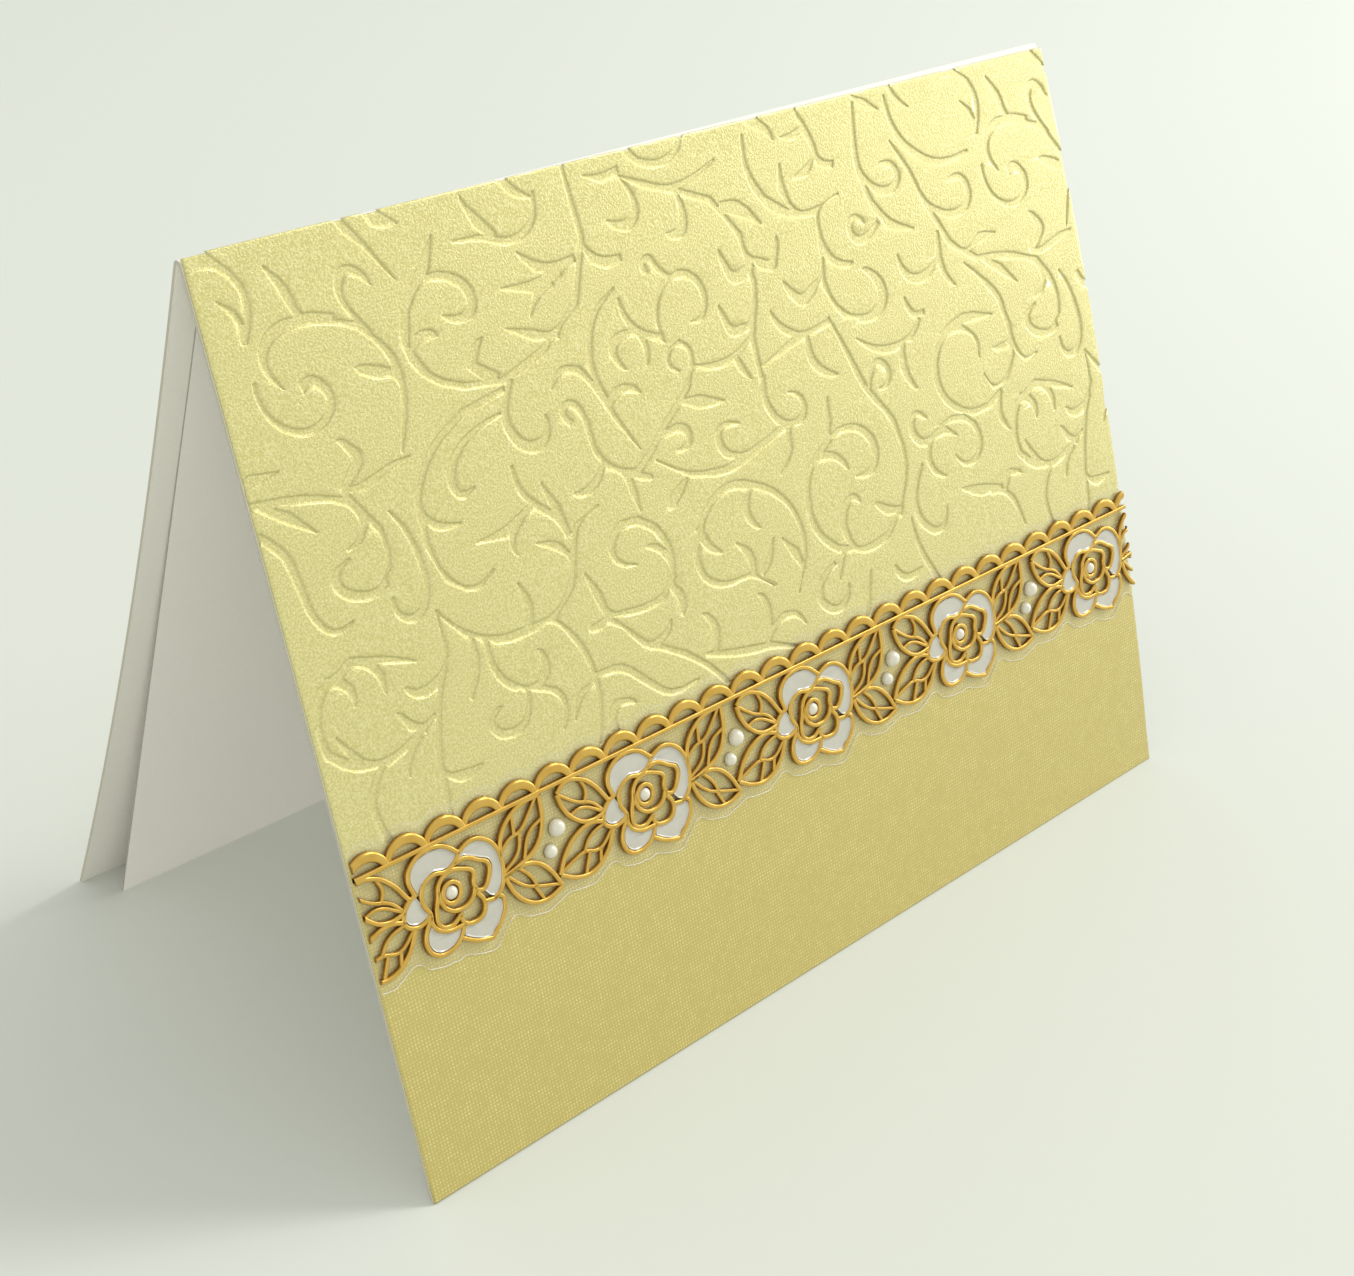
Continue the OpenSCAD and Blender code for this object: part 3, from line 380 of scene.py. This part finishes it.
def plate(curve, low, high, edge, steps):
    """Turns an outline into a plate between two heights, with a round edge."""
    curve.data.resolution_u = steps
    curve.data.bevel_depth = edge * MM
    curve.data.bevel_resolution = 1
    curve.data.extrude = ((high - low) / 2 - edge) * MM
    curve.location.z = (low + high) / 2 * MM
    only(curve)
    bpy.ops.object.convert(target="MESH")
    settle(curve)
    pick(curve, lambda co: True)
    bpy.ops.mesh.remove_doubles(threshold=0.002 * MM)
    bpy.ops.object.mode_set(mode="OBJECT")
    return curve


def dress_front(piece, angle, flats=True):
    """Stands a flat piece on the panel, follows the panel's bow and smooths its shading, its flats kept flat or not."""
    stand_on_panel(piece)
    settle(piece)
    finish_modifier(piece, "LATTICE", object=bow)
    bpy.ops.object.shade_smooth_by_angle(angle=math.radians(angle))
    if flats:
        finish_modifier(piece, "WEIGHTED_NORMAL", weight=100, keep_sharp=True)


# Gold sheet: a thin floor, and on it the ground between the scrolls, with soft edges

def make_gold_sheet():
    """Makes the gold sheet with its pressed scrolls, the pressed parts on a material of their own."""
    floor_h = SHEET - PRESSED
    low = SIDE_EDGE
    high = FRONT_H - TOP_EDGE
    only(base)
    bpy.ops.mesh.primitive_grid_add(x_subdivisions=CUTS, y_subdivisions=CUTS, size=MM)
    pressed = bpy.context.object
    pressed.scale = (CARD_W - 2 * SIDE_EDGE, high - low, 1)
    pressed.location = (0, (low + high) / 2 * MM, floor_h * MM)
    settle(pressed)
    finish_modifier(pressed, "SOLIDIFY", thickness=floor_h * MM, offset=-1)
    outline = smooth_outline("gold_sheet", SHEET, "gold_linen_sheet")
    ground = plate(outline, floor_h - GROUND_SUNK, SHEET, edge=GROUND_EDGE, steps=3)
    for k in range(1, CUTS):
        pick(ground, lambda co: True)
        bpy.ops.mesh.bisect(plane_co=(0, k * FRONT_H / CUTS * MM, 0), plane_no=(0, 1, 0))
    bpy.ops.object.mode_set(mode="OBJECT")
    for piece in (ground, ground, pressed, pressed):
        piece.data.materials.append(None)
    # Flats keep their grain, and the walls go with what is pressed
    for face in pressed.data.polygons:
        face.material_index = 1
    for face in ground.data.polygons:
        face.material_index = 0 if abs(face.normal.z) > 0.97 else 1
    sheet = join([ground, pressed], "gold_linen_sheet")
    # Stuck on by hand, the sheet stands a little over the fold at the left and stops short of it at the right
    pick(sheet, lambda co: co.y > (high - 0.3) * MM)
    bpy.ops.transform.rotate(value=ASKEW / CARD_W, orient_axis="Z",
        center_override=(CARD_W / 2 * MM, high * MM, 0))
    bpy.ops.object.mode_set(mode="OBJECT")
    dress_front(sheet, 60)
    return sheet


sheet = make_gold_sheet()


# Border strip: places in shares of a rose unit, from the rose's centre, x across and y down

PETAL_TOP = [(-5, -2), (-5.3, -4), (-4.1, -5.6), (-2, -6.2), (0.1, -5.8), (2, -4.2)]
PETAL_RIGHT = [(1.9, -4.2), (4, -4.9), (5.9, -4.2), (7.1, -2.6), (7.4, -1), (7.2, 0.8), (6.5, 2.3), (5.2, 3)]
PETAL_LOW_RIGHT = [(5.2, 3), (6.2, 3), (6.5, 4.1), (5.7, 5.7), (3.8, 7.4)]
PETAL_TIP = [(3.8, 7.4), (1.7, 6.8), (-0.2, 5.6)]
PETAL_LOW_LEFT = [(-3.5, 1.5), (-4.7, 3.2), (-4.9, 4.6), (-4.1, 6), (-2.4, 6.4), (-0.7, 5.8), (0.6, 4.2)]
PETAL_LEFT = [(-4.7, -1.9), (-5.9, -1.4), (-6.9, -0.2), (-7.1, 0.8), (-5.9, 1.8), (-4.4, 1.7), (-3.5, 1.1)]
INNER_LEFT = [(-3.5, 1.1), (-4.2, -0.8), (-3.6, -2.4), (-2, -3.1), (-0.3, -2.8), (1, -3.2)]
INNER_RIGHT = [(1, -3.2), (2.5, -3.3), (4.3, -2.3), (5.5, -1.4), (5.2, 0.2), (4.1, 1.3), (3.2, 1)]
INNER_LOW = [(0.3, 2.6), (0.6, 4), (1.9, 4.5), (3.4, 4.1), (3.9, 2.8), (3.1, 1.2)]
INNER_LOW_LEFT = [(-3.5, 1.1), (-3.5, 2.6), (-2.1, 3.9), (0.6, 4.2)]
ROSE_LINES = [
    PETAL_TOP, PETAL_RIGHT, PETAL_LOW_RIGHT, PETAL_TIP, PETAL_LOW_LEFT, PETAL_LEFT,
    INNER_LEFT, INNER_RIGHT, INNER_LOW, INNER_LOW_LEFT,
    [(3.9, 2.8), (5.2, 3)],
    [(1, -3.2), (2, -4.2)],
    [(-2.1, -0.2), (-1.5, -1.8), (0.1, -2.6), (1.9, -2.2), (3.3, -1.2), (3, 0), (3.2, 1.1)],
    [(-1.9, -1), (-1.8, 0.4), (-0.9, 1.8), (0.7, 2.3), (2.3, 1.8), (3.1, 0.6)],
    [(-2.1, -0.2), (-2.7, 1.4), (-2.6, 3), (-1.2, 3.6), (0.4, 2.9)],
]
LEAF_EDGES = [
    [(7.3, -1.4), (8.1, -3.7), (10.1, -5.6), (12.3, -6.3), (14.5, -6.3)],
    [(7.2, 1.2), (9.8, 0.7), (12.5, -0.4), (14.1, -2.8), (14.5, -6.3)],
    [(7.2, 1.2), (9.7, 0.9), (11.8, 1.3), (13.6, 2.9), (15, 5.5)],
    [(7.3, 1.2), (8.4, 4), (10.3, 5.8), (12.5, 6.3), (15, 5.7)],
    [(-13, -5.3), (-11.7, -6.2), (-9.5, -5.9), (-7.7, -4.6), (-5.7, -1.6)],
    [(-13, -5.3), (-12.5, -3.3), (-11.2, -1.4), (-9.2, -0.3), (-6.7, -0.4)],
    [(-15, 4.3), (-13.4, 2), (-11.5, 0.6), (-9.2, 0), (-6.9, 0.6)],
    [(-15, 4.3), (-12.7, 5.6), (-10.2, 5.9), (-7.8, 4.7), (-5.8, 1.9)],
]
LEAF_VEINS = [
    [(7.3, -1.5), (9.1, -2.8), (10.9, -3.2), (12.5, -4.6), (13.9, -6.1)],
    [(9.9, -3), (10.2, -5.6)],
    [(14.1, -3.4), (12, -2.4), (10.6, 0.3)],
    [(10.8, -3.2), (9.9, -0.8), (7.3, 0.8)],
    [(7.6, 1.2), (9.8, 3.4), (11.5, 4.2), (15, 5.4)],
    [(9.5, 1), (10.9, 2.7), (11.5, 4.2)],
    [(11.1, 4), (12.1, 6.2)],
    [(-13, -5.3), (-10.4, -3.3), (-8.2, -2.3), (-6.6, -0.5)],
    [(-9.2, -5.7), (-8.7, -4), (-9.2, -2.8)],
    [(-11.8, -2), (-9.9, -2.3), (-6.9, -0.7)],
    [(-15, 4.3), (-12.7, 3.5), (-10.8, 3.1), (-8.5, 3.6), (-6, 1.9)],
    [(-10.8, 3.1), (-9.5, 1.6), (-6.9, 0.8)],
    [(-10, 3.3), (-11.2, 5.8)],
    [(-8.3, 3.6), (-8.7, 5.2)],
]
EYE = (-0.1, -0.1)
EYE_R = 1.25
ROSES = [FIRST_ROSE + k * PITCH - CARD_W / 2 for k in range(5)]


def on_border(place):
    """Turns a place in shares of a unit into flat panel metres, for the unit at x 0."""
    return (place[0] * BEAD * MM, (ROSE_RISE - place[1] * BEAD) * MM)


def make_profile():
    """Cross-section of a gold line: a flat top with soft shoulders, on a foot as wide as the line."""
    only(base)
    bpy.ops.curve.primitive_bezier_curve_add()
    made = bpy.context.object
    made.name = "line_profile"
    made.data.dimensions = "2D"
    made.data.splines.clear()
    spline = made.data.splines.new("POLY")
    shoulder = [(0.3, 0), (0.3, 0.36), (0.25, 0.5), (0.15, 0.58)]
    places = shoulder + [(-x, y) for x, y in shoulder[::-1]]
    spline.points.add(len(places) - 1)
    spline.use_cyclic_u = True
    for point, (x, y) in zip(spline.points, places):
        point.co = (x * MM, y * MM, 0, 1)
    return made


profile = make_profile()


def wire(name, strokes, width, closed=False, radii=None):
    """Draws smooth flat-topped lines through points on the flat panel, as one curve."""
    only(base)
    bpy.ops.curve.primitive_bezier_curve_add()
    made = bpy.context.object
    made.name = name
    made.data.splines.clear()
    for stroke in strokes:
        spline = made.data.splines.new("BEZIER")
        spline.bezier_points.add(len(stroke) - 1)
        spline.use_cyclic_u = closed
        for i, (point, (x, y)) in enumerate(zip(spline.bezier_points, stroke)):
            point.co = (x, y, 0)
            point.handle_left_type = "AUTO"
            point.handle_right_type = "AUTO"
            point.radius = width / LINE * (radii[i] if radii else 1)
    made.data.resolution_u = 5
    made.data.twist_mode = "Z_UP"
    made.data.bevel_mode = "OBJECT"
    made.data.bevel_object = profile
    made.data.use_fill_caps = True
    made.location = (0, 0, FILM_TOP * MM)
    only(made)
    bpy.ops.object.convert(target="MESH")
    settle(made)
    pick(made, lambda co: True)
    bpy.ops.mesh.normals_make_consistent(inside=False)
    bpy.ops.object.mode_set(mode="OBJECT")
    return made


def trim_ends(piece):
    """Cuts a piece off flush with both ends of the gold sheet."""
    end = (CARD_W / 2 - SIDE_EDGE) * MM
    for side in (1, -1):
        pick(piece, lambda co: True)
        bpy.ops.mesh.bisect(plane_co=(side * end, 0, 0), plane_no=(side, 0, 0), use_fill=True, clear_outer=True)
    bpy.ops.object.mode_set(mode="OBJECT")


def make_lines():
    """Makes the gold lines: a rose with its leaves, repeated, and the scallops on their straight line."""
    outlines = [[on_border(p) for p in stroke] for stroke in ROSE_LINES + LEAF_EDGES]
    unit = [wire("outlines", outlines, LINE)]
    unit.append(wire("veins", [[on_border(p) for p in stroke] for stroke in LEAF_VEINS], VEIN))
    round_eye = [k * math.pi / 4 for k in range(8)]
    ring = [(EYE[0] + EYE_R * math.cos(a), EYE[1] + EYE_R * math.sin(a)) for a in round_eye]
    unit.append(wire("eye", [[on_border(p) for p in ring]], LINE, closed=True))
    rose = join(unit, "rose_unit")
    roses = [copied(rose, x * MM) for x in ROSES]
    bpy.data.objects.remove(rose)
    # Scallops: crescents along an arc whose centre lies below the straight line, thickest right of their crown
    crescent = [0.8, 0.92, 1.1, 1.25, 1.25, 1.12, 0.92]
    scallops = []
    arc_r = 0.523 * SCALLOP
    sunk = 0.1635 * SCALLOP
    foot = math.asin(sunk / arc_r)
    turns = [foot + (math.pi - 2 * foot) * (1 - i / 6) for i in range(7)]
    for k in range(-1, 28):
        x = FIRST_SCALLOP + k * SCALLOP - CARD_W / 2
        scallops.append([((x + arc_r * math.cos(a)) * MM, (BAND - sunk + arc_r * math.sin(a)) * MM) for a in turns])
    arcs = wire("scallops", scallops, SCALLOP_W, radii=crescent)
    pick(arcs, lambda co: True)
    bpy.ops.transform.resize(value=(1, 1, LINE / SCALLOP_FULL), center_override=(0, 0, FILM_TOP * MM))
    band = wire("band", [[(-CARD_W / 2 * MM, BAND * MM), (0, BAND * MM), (CARD_W / 2 * MM, BAND * MM)]], LINE)
    lines = join(roses + [arcs, band], "gold_border_lines")
    bpy.data.objects.remove(profile)
    trim_ends(lines)
    # Height over the film, which the foil's painted side shade reads
    rise = lines.data.attributes.new("rise", "FLOAT", "POINT")
    rise.data.foreach_set("value", [(v.co.z / MM - FILM_TOP) / LINE for v in lines.data.vertices])
    dress_front(lines, 60)
    return lines


lines = make_lines()


# White fields in the petals: low plates inside the gold lines, hollowed as enamel that draws up to its edge

def make_petals():
    """Makes the white fields, each with a rim that slopes to a sunken middle."""
    high = FILM_TOP + PETAL_RIM
    outline = smooth_outline("strip_petals", FILM_TOP + PETAL_H, "pearly_petals")
    made = plate(outline, FILM_TOP, high, edge=0.03, steps=5)
    pick(made, lambda co: co.z > (high - 0.002) * MM)
    bpy.ops.mesh.select_mode(type="FACE")
    bpy.ops.mesh.inset(thickness=SLOPE_W * MM, depth=-SLOPE_D * MM, use_even_offset=False)
    bpy.ops.object.mode_set(mode="OBJECT")
    dress_front(made, 30, flats=False)
    return made


petals = make_petals()


# Pearls: half balls on the film

def make_pearls():
    """Makes a pair of pearls beside each rose and one in its eye, where they fit on the sheet."""
    pearls = []
    # Places beside the rose's centre, each with the pearl's share of the full width
    spots = [((16.2, -1.3), 1), ((14.6, 1.1), 0.8), (EYE, 0.8)]
    for rose in ROSES:
        for place, share in spots:
            x, y = on_border(place)
            x += rose * MM
            if abs(x) > (CARD_W / 2 - SIDE_EDGE - PEARL / 2) * MM:
                continue
            r = PEARL * share / 2 * MM
            only(base)
            bpy.ops.mesh.primitive_uv_sphere_add(segments=32, ring_count=16, radius=r,
                location=(x, y, FILM_TOP * MM))
            pearl = bpy.context.object
            settle(pearl)
            pick(pearl, lambda co: True)
            bpy.ops.mesh.bisect(plane_co=(0, 0, FILM_TOP * MM), plane_no=(0, 0, 1), use_fill=True, clear_inner=True)
            bpy.ops.object.mode_set(mode="OBJECT")
            pearls.append(pearl)
    pearls = join(pearls, "domed_pearls")
    dress_front(pearls, 40)
    return pearls


pearls = make_pearls()


# Clear film, lifted a hair off the paper, with a soft rim, cut across to follow the bow

film = plate(smooth_outline("strip_film", FILM_TOP, "clear_film"), SHEET + FILM_LIFT, FILM_TOP, edge=0.06, steps=2)
for height in (27.5, 31, 34.5, 38, 41.5):
    pick(film, lambda co: True)
    bpy.ops.mesh.bisect(plane_co=(0, height * MM, 0), plane_no=(0, 1, 0))
bpy.ops.object.mode_set(mode="OBJECT")
dress_front(film, 50)
bpy.data.objects.remove(bow)
insert = nodes["insert_leaf"]


# Materials

def painted_edge_shade(tree, faces, edge):
    """Paints shade on a sheet's side edges, the faces turned across the card, and keeps the colour of its faces."""
    facing = add(tree, "ShaderNodeSeparateXYZ", {"Vector": add(tree, "ShaderNodeTexCoord").outputs["Normal"]})
    aside = add(tree, "ShaderNodeMath", {0: facing.outputs["X"]}, operation="ABSOLUTE")
    # Painted shade: faces turned across the card are darkened towards the edge colour
    cut = add(tree, "ShaderNodeMapRange", {"Value": aside.outputs[0], "From Min": 0.7, "From Max": 0.9})
    return add(tree, "ShaderNodeMix", {"Factor": cut.outputs["Result"], 6: faces, 7: linear(edge)},
        data_type="RGBA").outputs[2]


def white_cardstock():
    """Uncoated white cardstock, calendered: matt and a little warm, with faint fibres, and painted shade on its side
    edges.
    """
    made, tree, shader = new_material("uncoated_white_cardstock")
    place = add(tree, "ShaderNodeTexCoord").outputs["Object"]
    # Fibres about 0.4 mm long
    fibres = add(tree, "ShaderNodeTexNoise", {"Vector": place, "Scale": 1 / (0.4 * MM), "Detail": 3})
    tint = add(tree, "ShaderNodeMix", {"Factor": fibres.outputs["Fac"], 6: linear("#EFEBE2"), 7: linear("#F7F4EC")},
        data_type="RGBA")
    bump = add(tree, "ShaderNodeBump", {"Height": fibres.outputs["Fac"], "Strength": 0.15, "Distance": 0.02 * MM})
    # The side edges take painted shade in #BDB8A6
    tree.links.new(painted_edge_shade(tree, tint.outputs[2], "#BDB8A6"), shader.inputs["Base Color"])
    tree.links.new(bump.outputs["Normal"], shader.inputs["Normal"])
    shader.inputs["Roughness"].default_value = 0.8
    return made


def gold_linen_paper(name, pressed):
    """Pearlescent gold paper with a linen grain: mica gives a soft metallic sheen, and pressing flattens the grain."""
    made, tree, shader = new_material(name)
    place = add(tree, "ShaderNodeTexCoord").outputs["Object"]
    # Panel millimetres: x across, y up the panel
    panel = add(tree, "ShaderNodeMapping", {"Vector": place, "Rotation": (math.radians(LEAN - 90), 0, 0),
        "Scale": (1 / MM, 1 / MM, 1 / MM)}).outputs["Vector"]
    # Linen threads, drawn at 0.45 mm for their 0.35 mm, so that they show: a knuckle at each crossing.
    # A wave of scale 1 repeats after 0.31416
    thread = 0.45
    warp, weft = [add(tree, "ShaderNodeTexWave", {"Vector": panel, "Scale": 0.31416 / thread, "Distortion": 0.9,
        "Detail": 1, "Detail Scale": 0.7}, bands_direction=way) for way in ("X", "Y")]
    weave = add(tree, "ShaderNodeMath", {0: warp.outputs["Fac"], 1: weft.outputs["Fac"]}, operation="MULTIPLY")
    # Thick and thin threads, in patches about 2 mm long
    slub = add(tree, "ShaderNodeTexNoise", {"Vector": panel, "Scale": 0.5, "Detail": 4, "Roughness": 0.7})
    uneven = add(tree, "ShaderNodeMapRange", {"Value": slub.outputs["Fac"], "From Min": 0.35, "From Max": 0.65,
        "To Min": 0.35, "To Max": 1.05})
    # Single fibres, about 0.5 mm long, that make no two knuckles alike
    fibre = add(tree, "ShaderNodeTexNoise", {"Vector": panel, "Scale": 2.0, "Detail": 2})
    single = add(tree, "ShaderNodeMapRange", {"Value": fibre.outputs["Fac"], "From Min": 0.3, "From Max": 0.7,
        "To Min": 0.4, "To Max": 1.3})
    patchy = add(tree, "ShaderNodeMath", {0: weave.outputs[0], 1: uneven.outputs["Result"]}, operation="MULTIPLY")
    linen = add(tree, "ShaderNodeMath", {0: patchy.outputs[0], 1: single.outputs["Result"]}, operation="MULTIPLY")
    # Above the border the press has broken the linen up into crumbs, about 0.3 mm across, and the colour is paler
    crumb = add(tree, "ShaderNodeTexNoise", {"Vector": panel, "Scale": 3.8, "Detail": 2, "Roughness": 0.6})
    crumbs = add(tree, "ShaderNodeMapRange", {"Value": crumb.outputs["Fac"], "From Min": 0.38, "From Max": 0.68,
        "To Max": 0.08 if pressed else 0.75})
    up = add(tree, "ShaderNodeSeparateXYZ", {"Vector": panel}).outputs["Y"]
    field_low = FRONT_H - FIELD_H + FOOT_Y / MM * math.sin(math.radians(LEAN))
    upper = add(tree, "ShaderNodeMapRange", {"Value": up, "From Min": field_low - 1, "From Max": field_low + 1})
    shown = add(tree, "ShaderNodeMix", {"Factor": upper.outputs["Result"], 2: linen.outputs[0],
        3: crumbs.outputs["Result"]}, data_type="FLOAT")
    bump = add(tree, "ShaderNodeBump", {"Height": shown.outputs[0], "Strength": 0.6, "Distance": 0.06 * MM})
    # The press rounds the edges of the scrolls over about 0.35 mm
    soft = add(tree, "ShaderNodeBevel", {"Radius": 0.35 * MM, "Normal": bump.outputs["Normal"]}, samples=6)
    plain = add(tree, "ShaderNodeMix", {"Factor": shown.outputs[0], 6: linear("#C3B263"), 7: linear("#E6DA90")},
        data_type="RGBA")
    field = add(tree, "ShaderNodeMix", {"Factor": shown.outputs[0], 6: linear("#CCC168" if pressed else "#CBC177"),
        7: linear("#D8CE7C" if pressed else "#E8E1A5")}, data_type="RGBA")
    colour = add(tree, "ShaderNodeMix", {"Factor": upper.outputs["Result"], 6: plain.outputs[2],
        7: field.outputs[2]}, data_type="RGBA")
    tree.links.new(colour.outputs[2], shader.inputs["Base Color"])
    tree.links.new(soft.outputs["Normal"], shader.inputs["Normal"])
    shader.inputs["Metallic"].default_value = 0.45
    shader.inputs["Roughness"].default_value = 0.36 if pressed else 0.42
    shader.inputs["Coat Weight"].default_value = 0.9
    shader.inputs["Coat Roughness"].default_value = 0.16
    return made


def white_paper():
    """Plain white writing paper: matt, with a faint tooth, and painted shade on its side edges."""
    made, tree, shader = new_material("plain_white_paper")
    place = add(tree, "ShaderNodeTexCoord").outputs["Object"]
    # Tooth about 0.3 mm across
    tooth = add(tree, "ShaderNodeTexNoise", {"Vector": place, "Scale": 1 / (0.3 * MM), "Detail": 2})
    tint = add(tree, "ShaderNodeMix", {"Factor": tooth.outputs["Fac"], 6: linear("#F0ECE5"), 7: linear("#F8F5EF")},
        data_type="RGBA")
    bump = add(tree, "ShaderNodeBump", {"Height": tooth.outputs["Fac"], "Strength": 0.1, "Distance": 0.02 * MM})
    # The side edges take painted shade in #A8A49A
    tree.links.new(painted_edge_shade(tree, tint.outputs[2], "#A8A49A"), shader.inputs["Base Color"])
    tree.links.new(bump.outputs["Normal"], shader.inputs["Normal"])
    shader.inputs["Roughness"].default_value = 0.85
    return made


def gold_foil():
    """Raised lines of hot-stamped gold foil: an orange gold, with painted shade that turns the sides brown and leaves
    the tops bright.
    """
    made, tree, shader = new_material("hot_stamped_gold_foil")
    place = add(tree, "ShaderNodeTexCoord").outputs["Object"]
    # Slow unevenness of the foil, about 1.5 mm long
    uneven = add(tree, "ShaderNodeTexNoise", {"Vector": place, "Scale": 1 / (1.5 * MM), "Detail": 2})
    tint = add(tree, "ShaderNodeMix", {"Factor": uneven.outputs["Fac"], 6: linear("#C99C3C"), 7: linear("#DFBA62")},
        data_type="RGBA")
    # Painted shade: by their height over the film, the sides of the lines go brown and the tops keep the bright gold
    rise = add(tree, "ShaderNodeAttribute", attribute_name="rise")
    top = add(tree, "ShaderNodeMapRange", {"Value": rise.outputs["Fac"], "From Min": 0.35, "From Max": 0.8})
    painted_side_shade = add(tree, "ShaderNodeMix", {"Factor": top.outputs["Result"], 6: linear("#966614"), 7: tint.outputs[2]},
        data_type="RGBA")
    bump = add(tree, "ShaderNodeBump", {"Height": uneven.outputs["Fac"], "Strength": 0.2, "Distance": 0.05 * MM})
    tree.links.new(painted_side_shade.outputs[2], shader.inputs["Base Color"])
    tree.links.new(bump.outputs["Normal"], shader.inputs["Normal"])
    shader.inputs["Metallic"].default_value = 0.75
    shader.inputs["Roughness"].default_value = 0.32
    return made


def pearly_white(name, low, high, sheen_scale):
    """Pearl lacquer: a greyish white under a clear satin coat, with slow clouds in it."""
    made, tree, shader = new_material(name)
    place = add(tree, "ShaderNodeTexCoord").outputs["Object"]
    clouds = add(tree, "ShaderNodeTexNoise", {"Vector": place, "Scale": 1 / (sheen_scale * MM), "Detail": 2})
    tint = add(tree, "ShaderNodeMix", {"Factor": clouds.outputs["Fac"], 6: linear(low), 7: linear(high)},
        data_type="RGBA")
    tree.links.new(tint.outputs[2], shader.inputs["Base Color"])
    shader.inputs["Roughness"].default_value = 0.28
    shader.inputs["Coat Weight"].default_value = 1.0
    shader.inputs["Coat Roughness"].default_value = 0.3
    return made


def clear_vinyl(name, alpha):
    """Clear self-adhesive vinyl: nearly invisible at a low alpha, and a painted pale highlight at a high alpha, as on
    its lower rim.
    """
    made, tree, shader = new_material(name)
    place = add(tree, "ShaderNodeTexCoord").outputs["Object"]
    # Ripples about 4 mm long
    ripple = add(tree, "ShaderNodeTexNoise", {"Vector": place, "Scale": 1 / (4 * MM), "Detail": 1})
    bump = add(tree, "ShaderNodeBump", {"Height": ripple.outputs["Fac"], "Strength": 0.2, "Distance": 0.1 * MM})
    tree.links.new(bump.outputs["Normal"], shader.inputs["Normal"])
    shader.inputs["Base Color"].default_value = linear("#F6F5EA")
    shader.inputs["Roughness"].default_value = 0.12
    shader.inputs["Alpha"].default_value = alpha
    return made


def coat(piece, *materials):
    """Gives a piece its materials in place of any it has."""
    while len(piece.data.materials) < len(materials):
        piece.data.materials.append(None)
    for i, material in enumerate(materials):
        piece.data.materials[i] = material


coat(base, white_cardstock())
coat(sheet, gold_linen_paper("pearlescent_gold_linen_paper", False), gold_linen_paper("pressed_gold_linen_paper", True))
coat(insert, white_paper())
coat(lines, gold_foil())
coat(petals, pearly_white("pearly_white_lacquer", "#B4B0A2", "#C6C3B6", 1.5))
coat(pearls, pearly_white("pearl_white_resin", "#D2CDB8", "#E6E2D0", 0.8))
coat(film, clear_vinyl("clear_vinyl_face", 0.05), clear_vinyl("clear_vinyl_rim_painted_highlight", 0.9))
# Painted highlight: the lower rim's faces get the nearly opaque pale material, standing for light that runs down in the
# film and comes out at its lower rim
down = Vector((0, -math.sin(math.radians(LEAN)), -math.cos(math.radians(LEAN))))
for face in film.data.polygons:
    face.material_index = 1 if face.normal.dot(down) > 0.3 else 0


# Each piece rides on the card and stands for its part

for piece, node, slot in [
    (base, "card_base", "white_card"),
    (sheet, "gold_sheet", "gold_paper"),
    (lines, "strip_lines", "gold_line"),
    (petals, "strip_petals", "white_enamel"),
    (pearls, "strip_pearls", "pearl"),
    (film, "strip_film", "clear_film"),
]:
    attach(piece, "root")
    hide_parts(node)


# Studio: a pale table and soft light from the right

def make_floor():
    """Pale table top, large enough to fill the view."""
    only(base)
    bpy.ops.mesh.primitive_plane_add(size=6, location=(0, 0, 0))
    floor = bpy.context.object
    floor.name = "studio_floor"
    made, _, shader = new_material("pale_table_top")
    shader.inputs["Base Color"].default_value = linear("#D9DCD3")
    shader.inputs["Roughness"].default_value = 0.9
    coat(floor, made)


def make_light(name, place, aim, size, watts):
    """Square soft box at a place, turned to what it lights."""
    lamp = bpy.data.lights.new(name, "AREA")
    lamp.shape = "SQUARE"
    lamp.size = size
    lamp.energy = watts
    made = bpy.data.objects.new(name, lamp)
    bpy.context.collection.objects.link(made)
    made.location = place
    way = Vector(aim) - made.location
    made.rotation_euler = way.to_track_quat("-Z", "Y").to_euler()


make_floor()
# The lower walls of the scrolls mirror the key, and their lower left walls mirror the low window
make_light("key_right", (0.85, -0.3, 0.95), (0, 0, 0.05), 0.28, 6.2)
make_light("window_low", (1.0, -0.34, 0.27), (0, 0, 0.05), 0.34, 3.0)
make_light("fill_left", (-0.85, -0.85, 0.35), (0, 0, 0.03), 0.8, 1.9)
world = bpy.data.worlds.new("studio")
bpy.context.scene.world = world
world.use_nodes = True
sky = world.node_tree.nodes["Background"]
sky.inputs["Color"].default_value = linear("#F4F6F2")
sky.inputs["Strength"].default_value = 0.88
bpy.context.scene.view_settings.view_transform = "Standard"
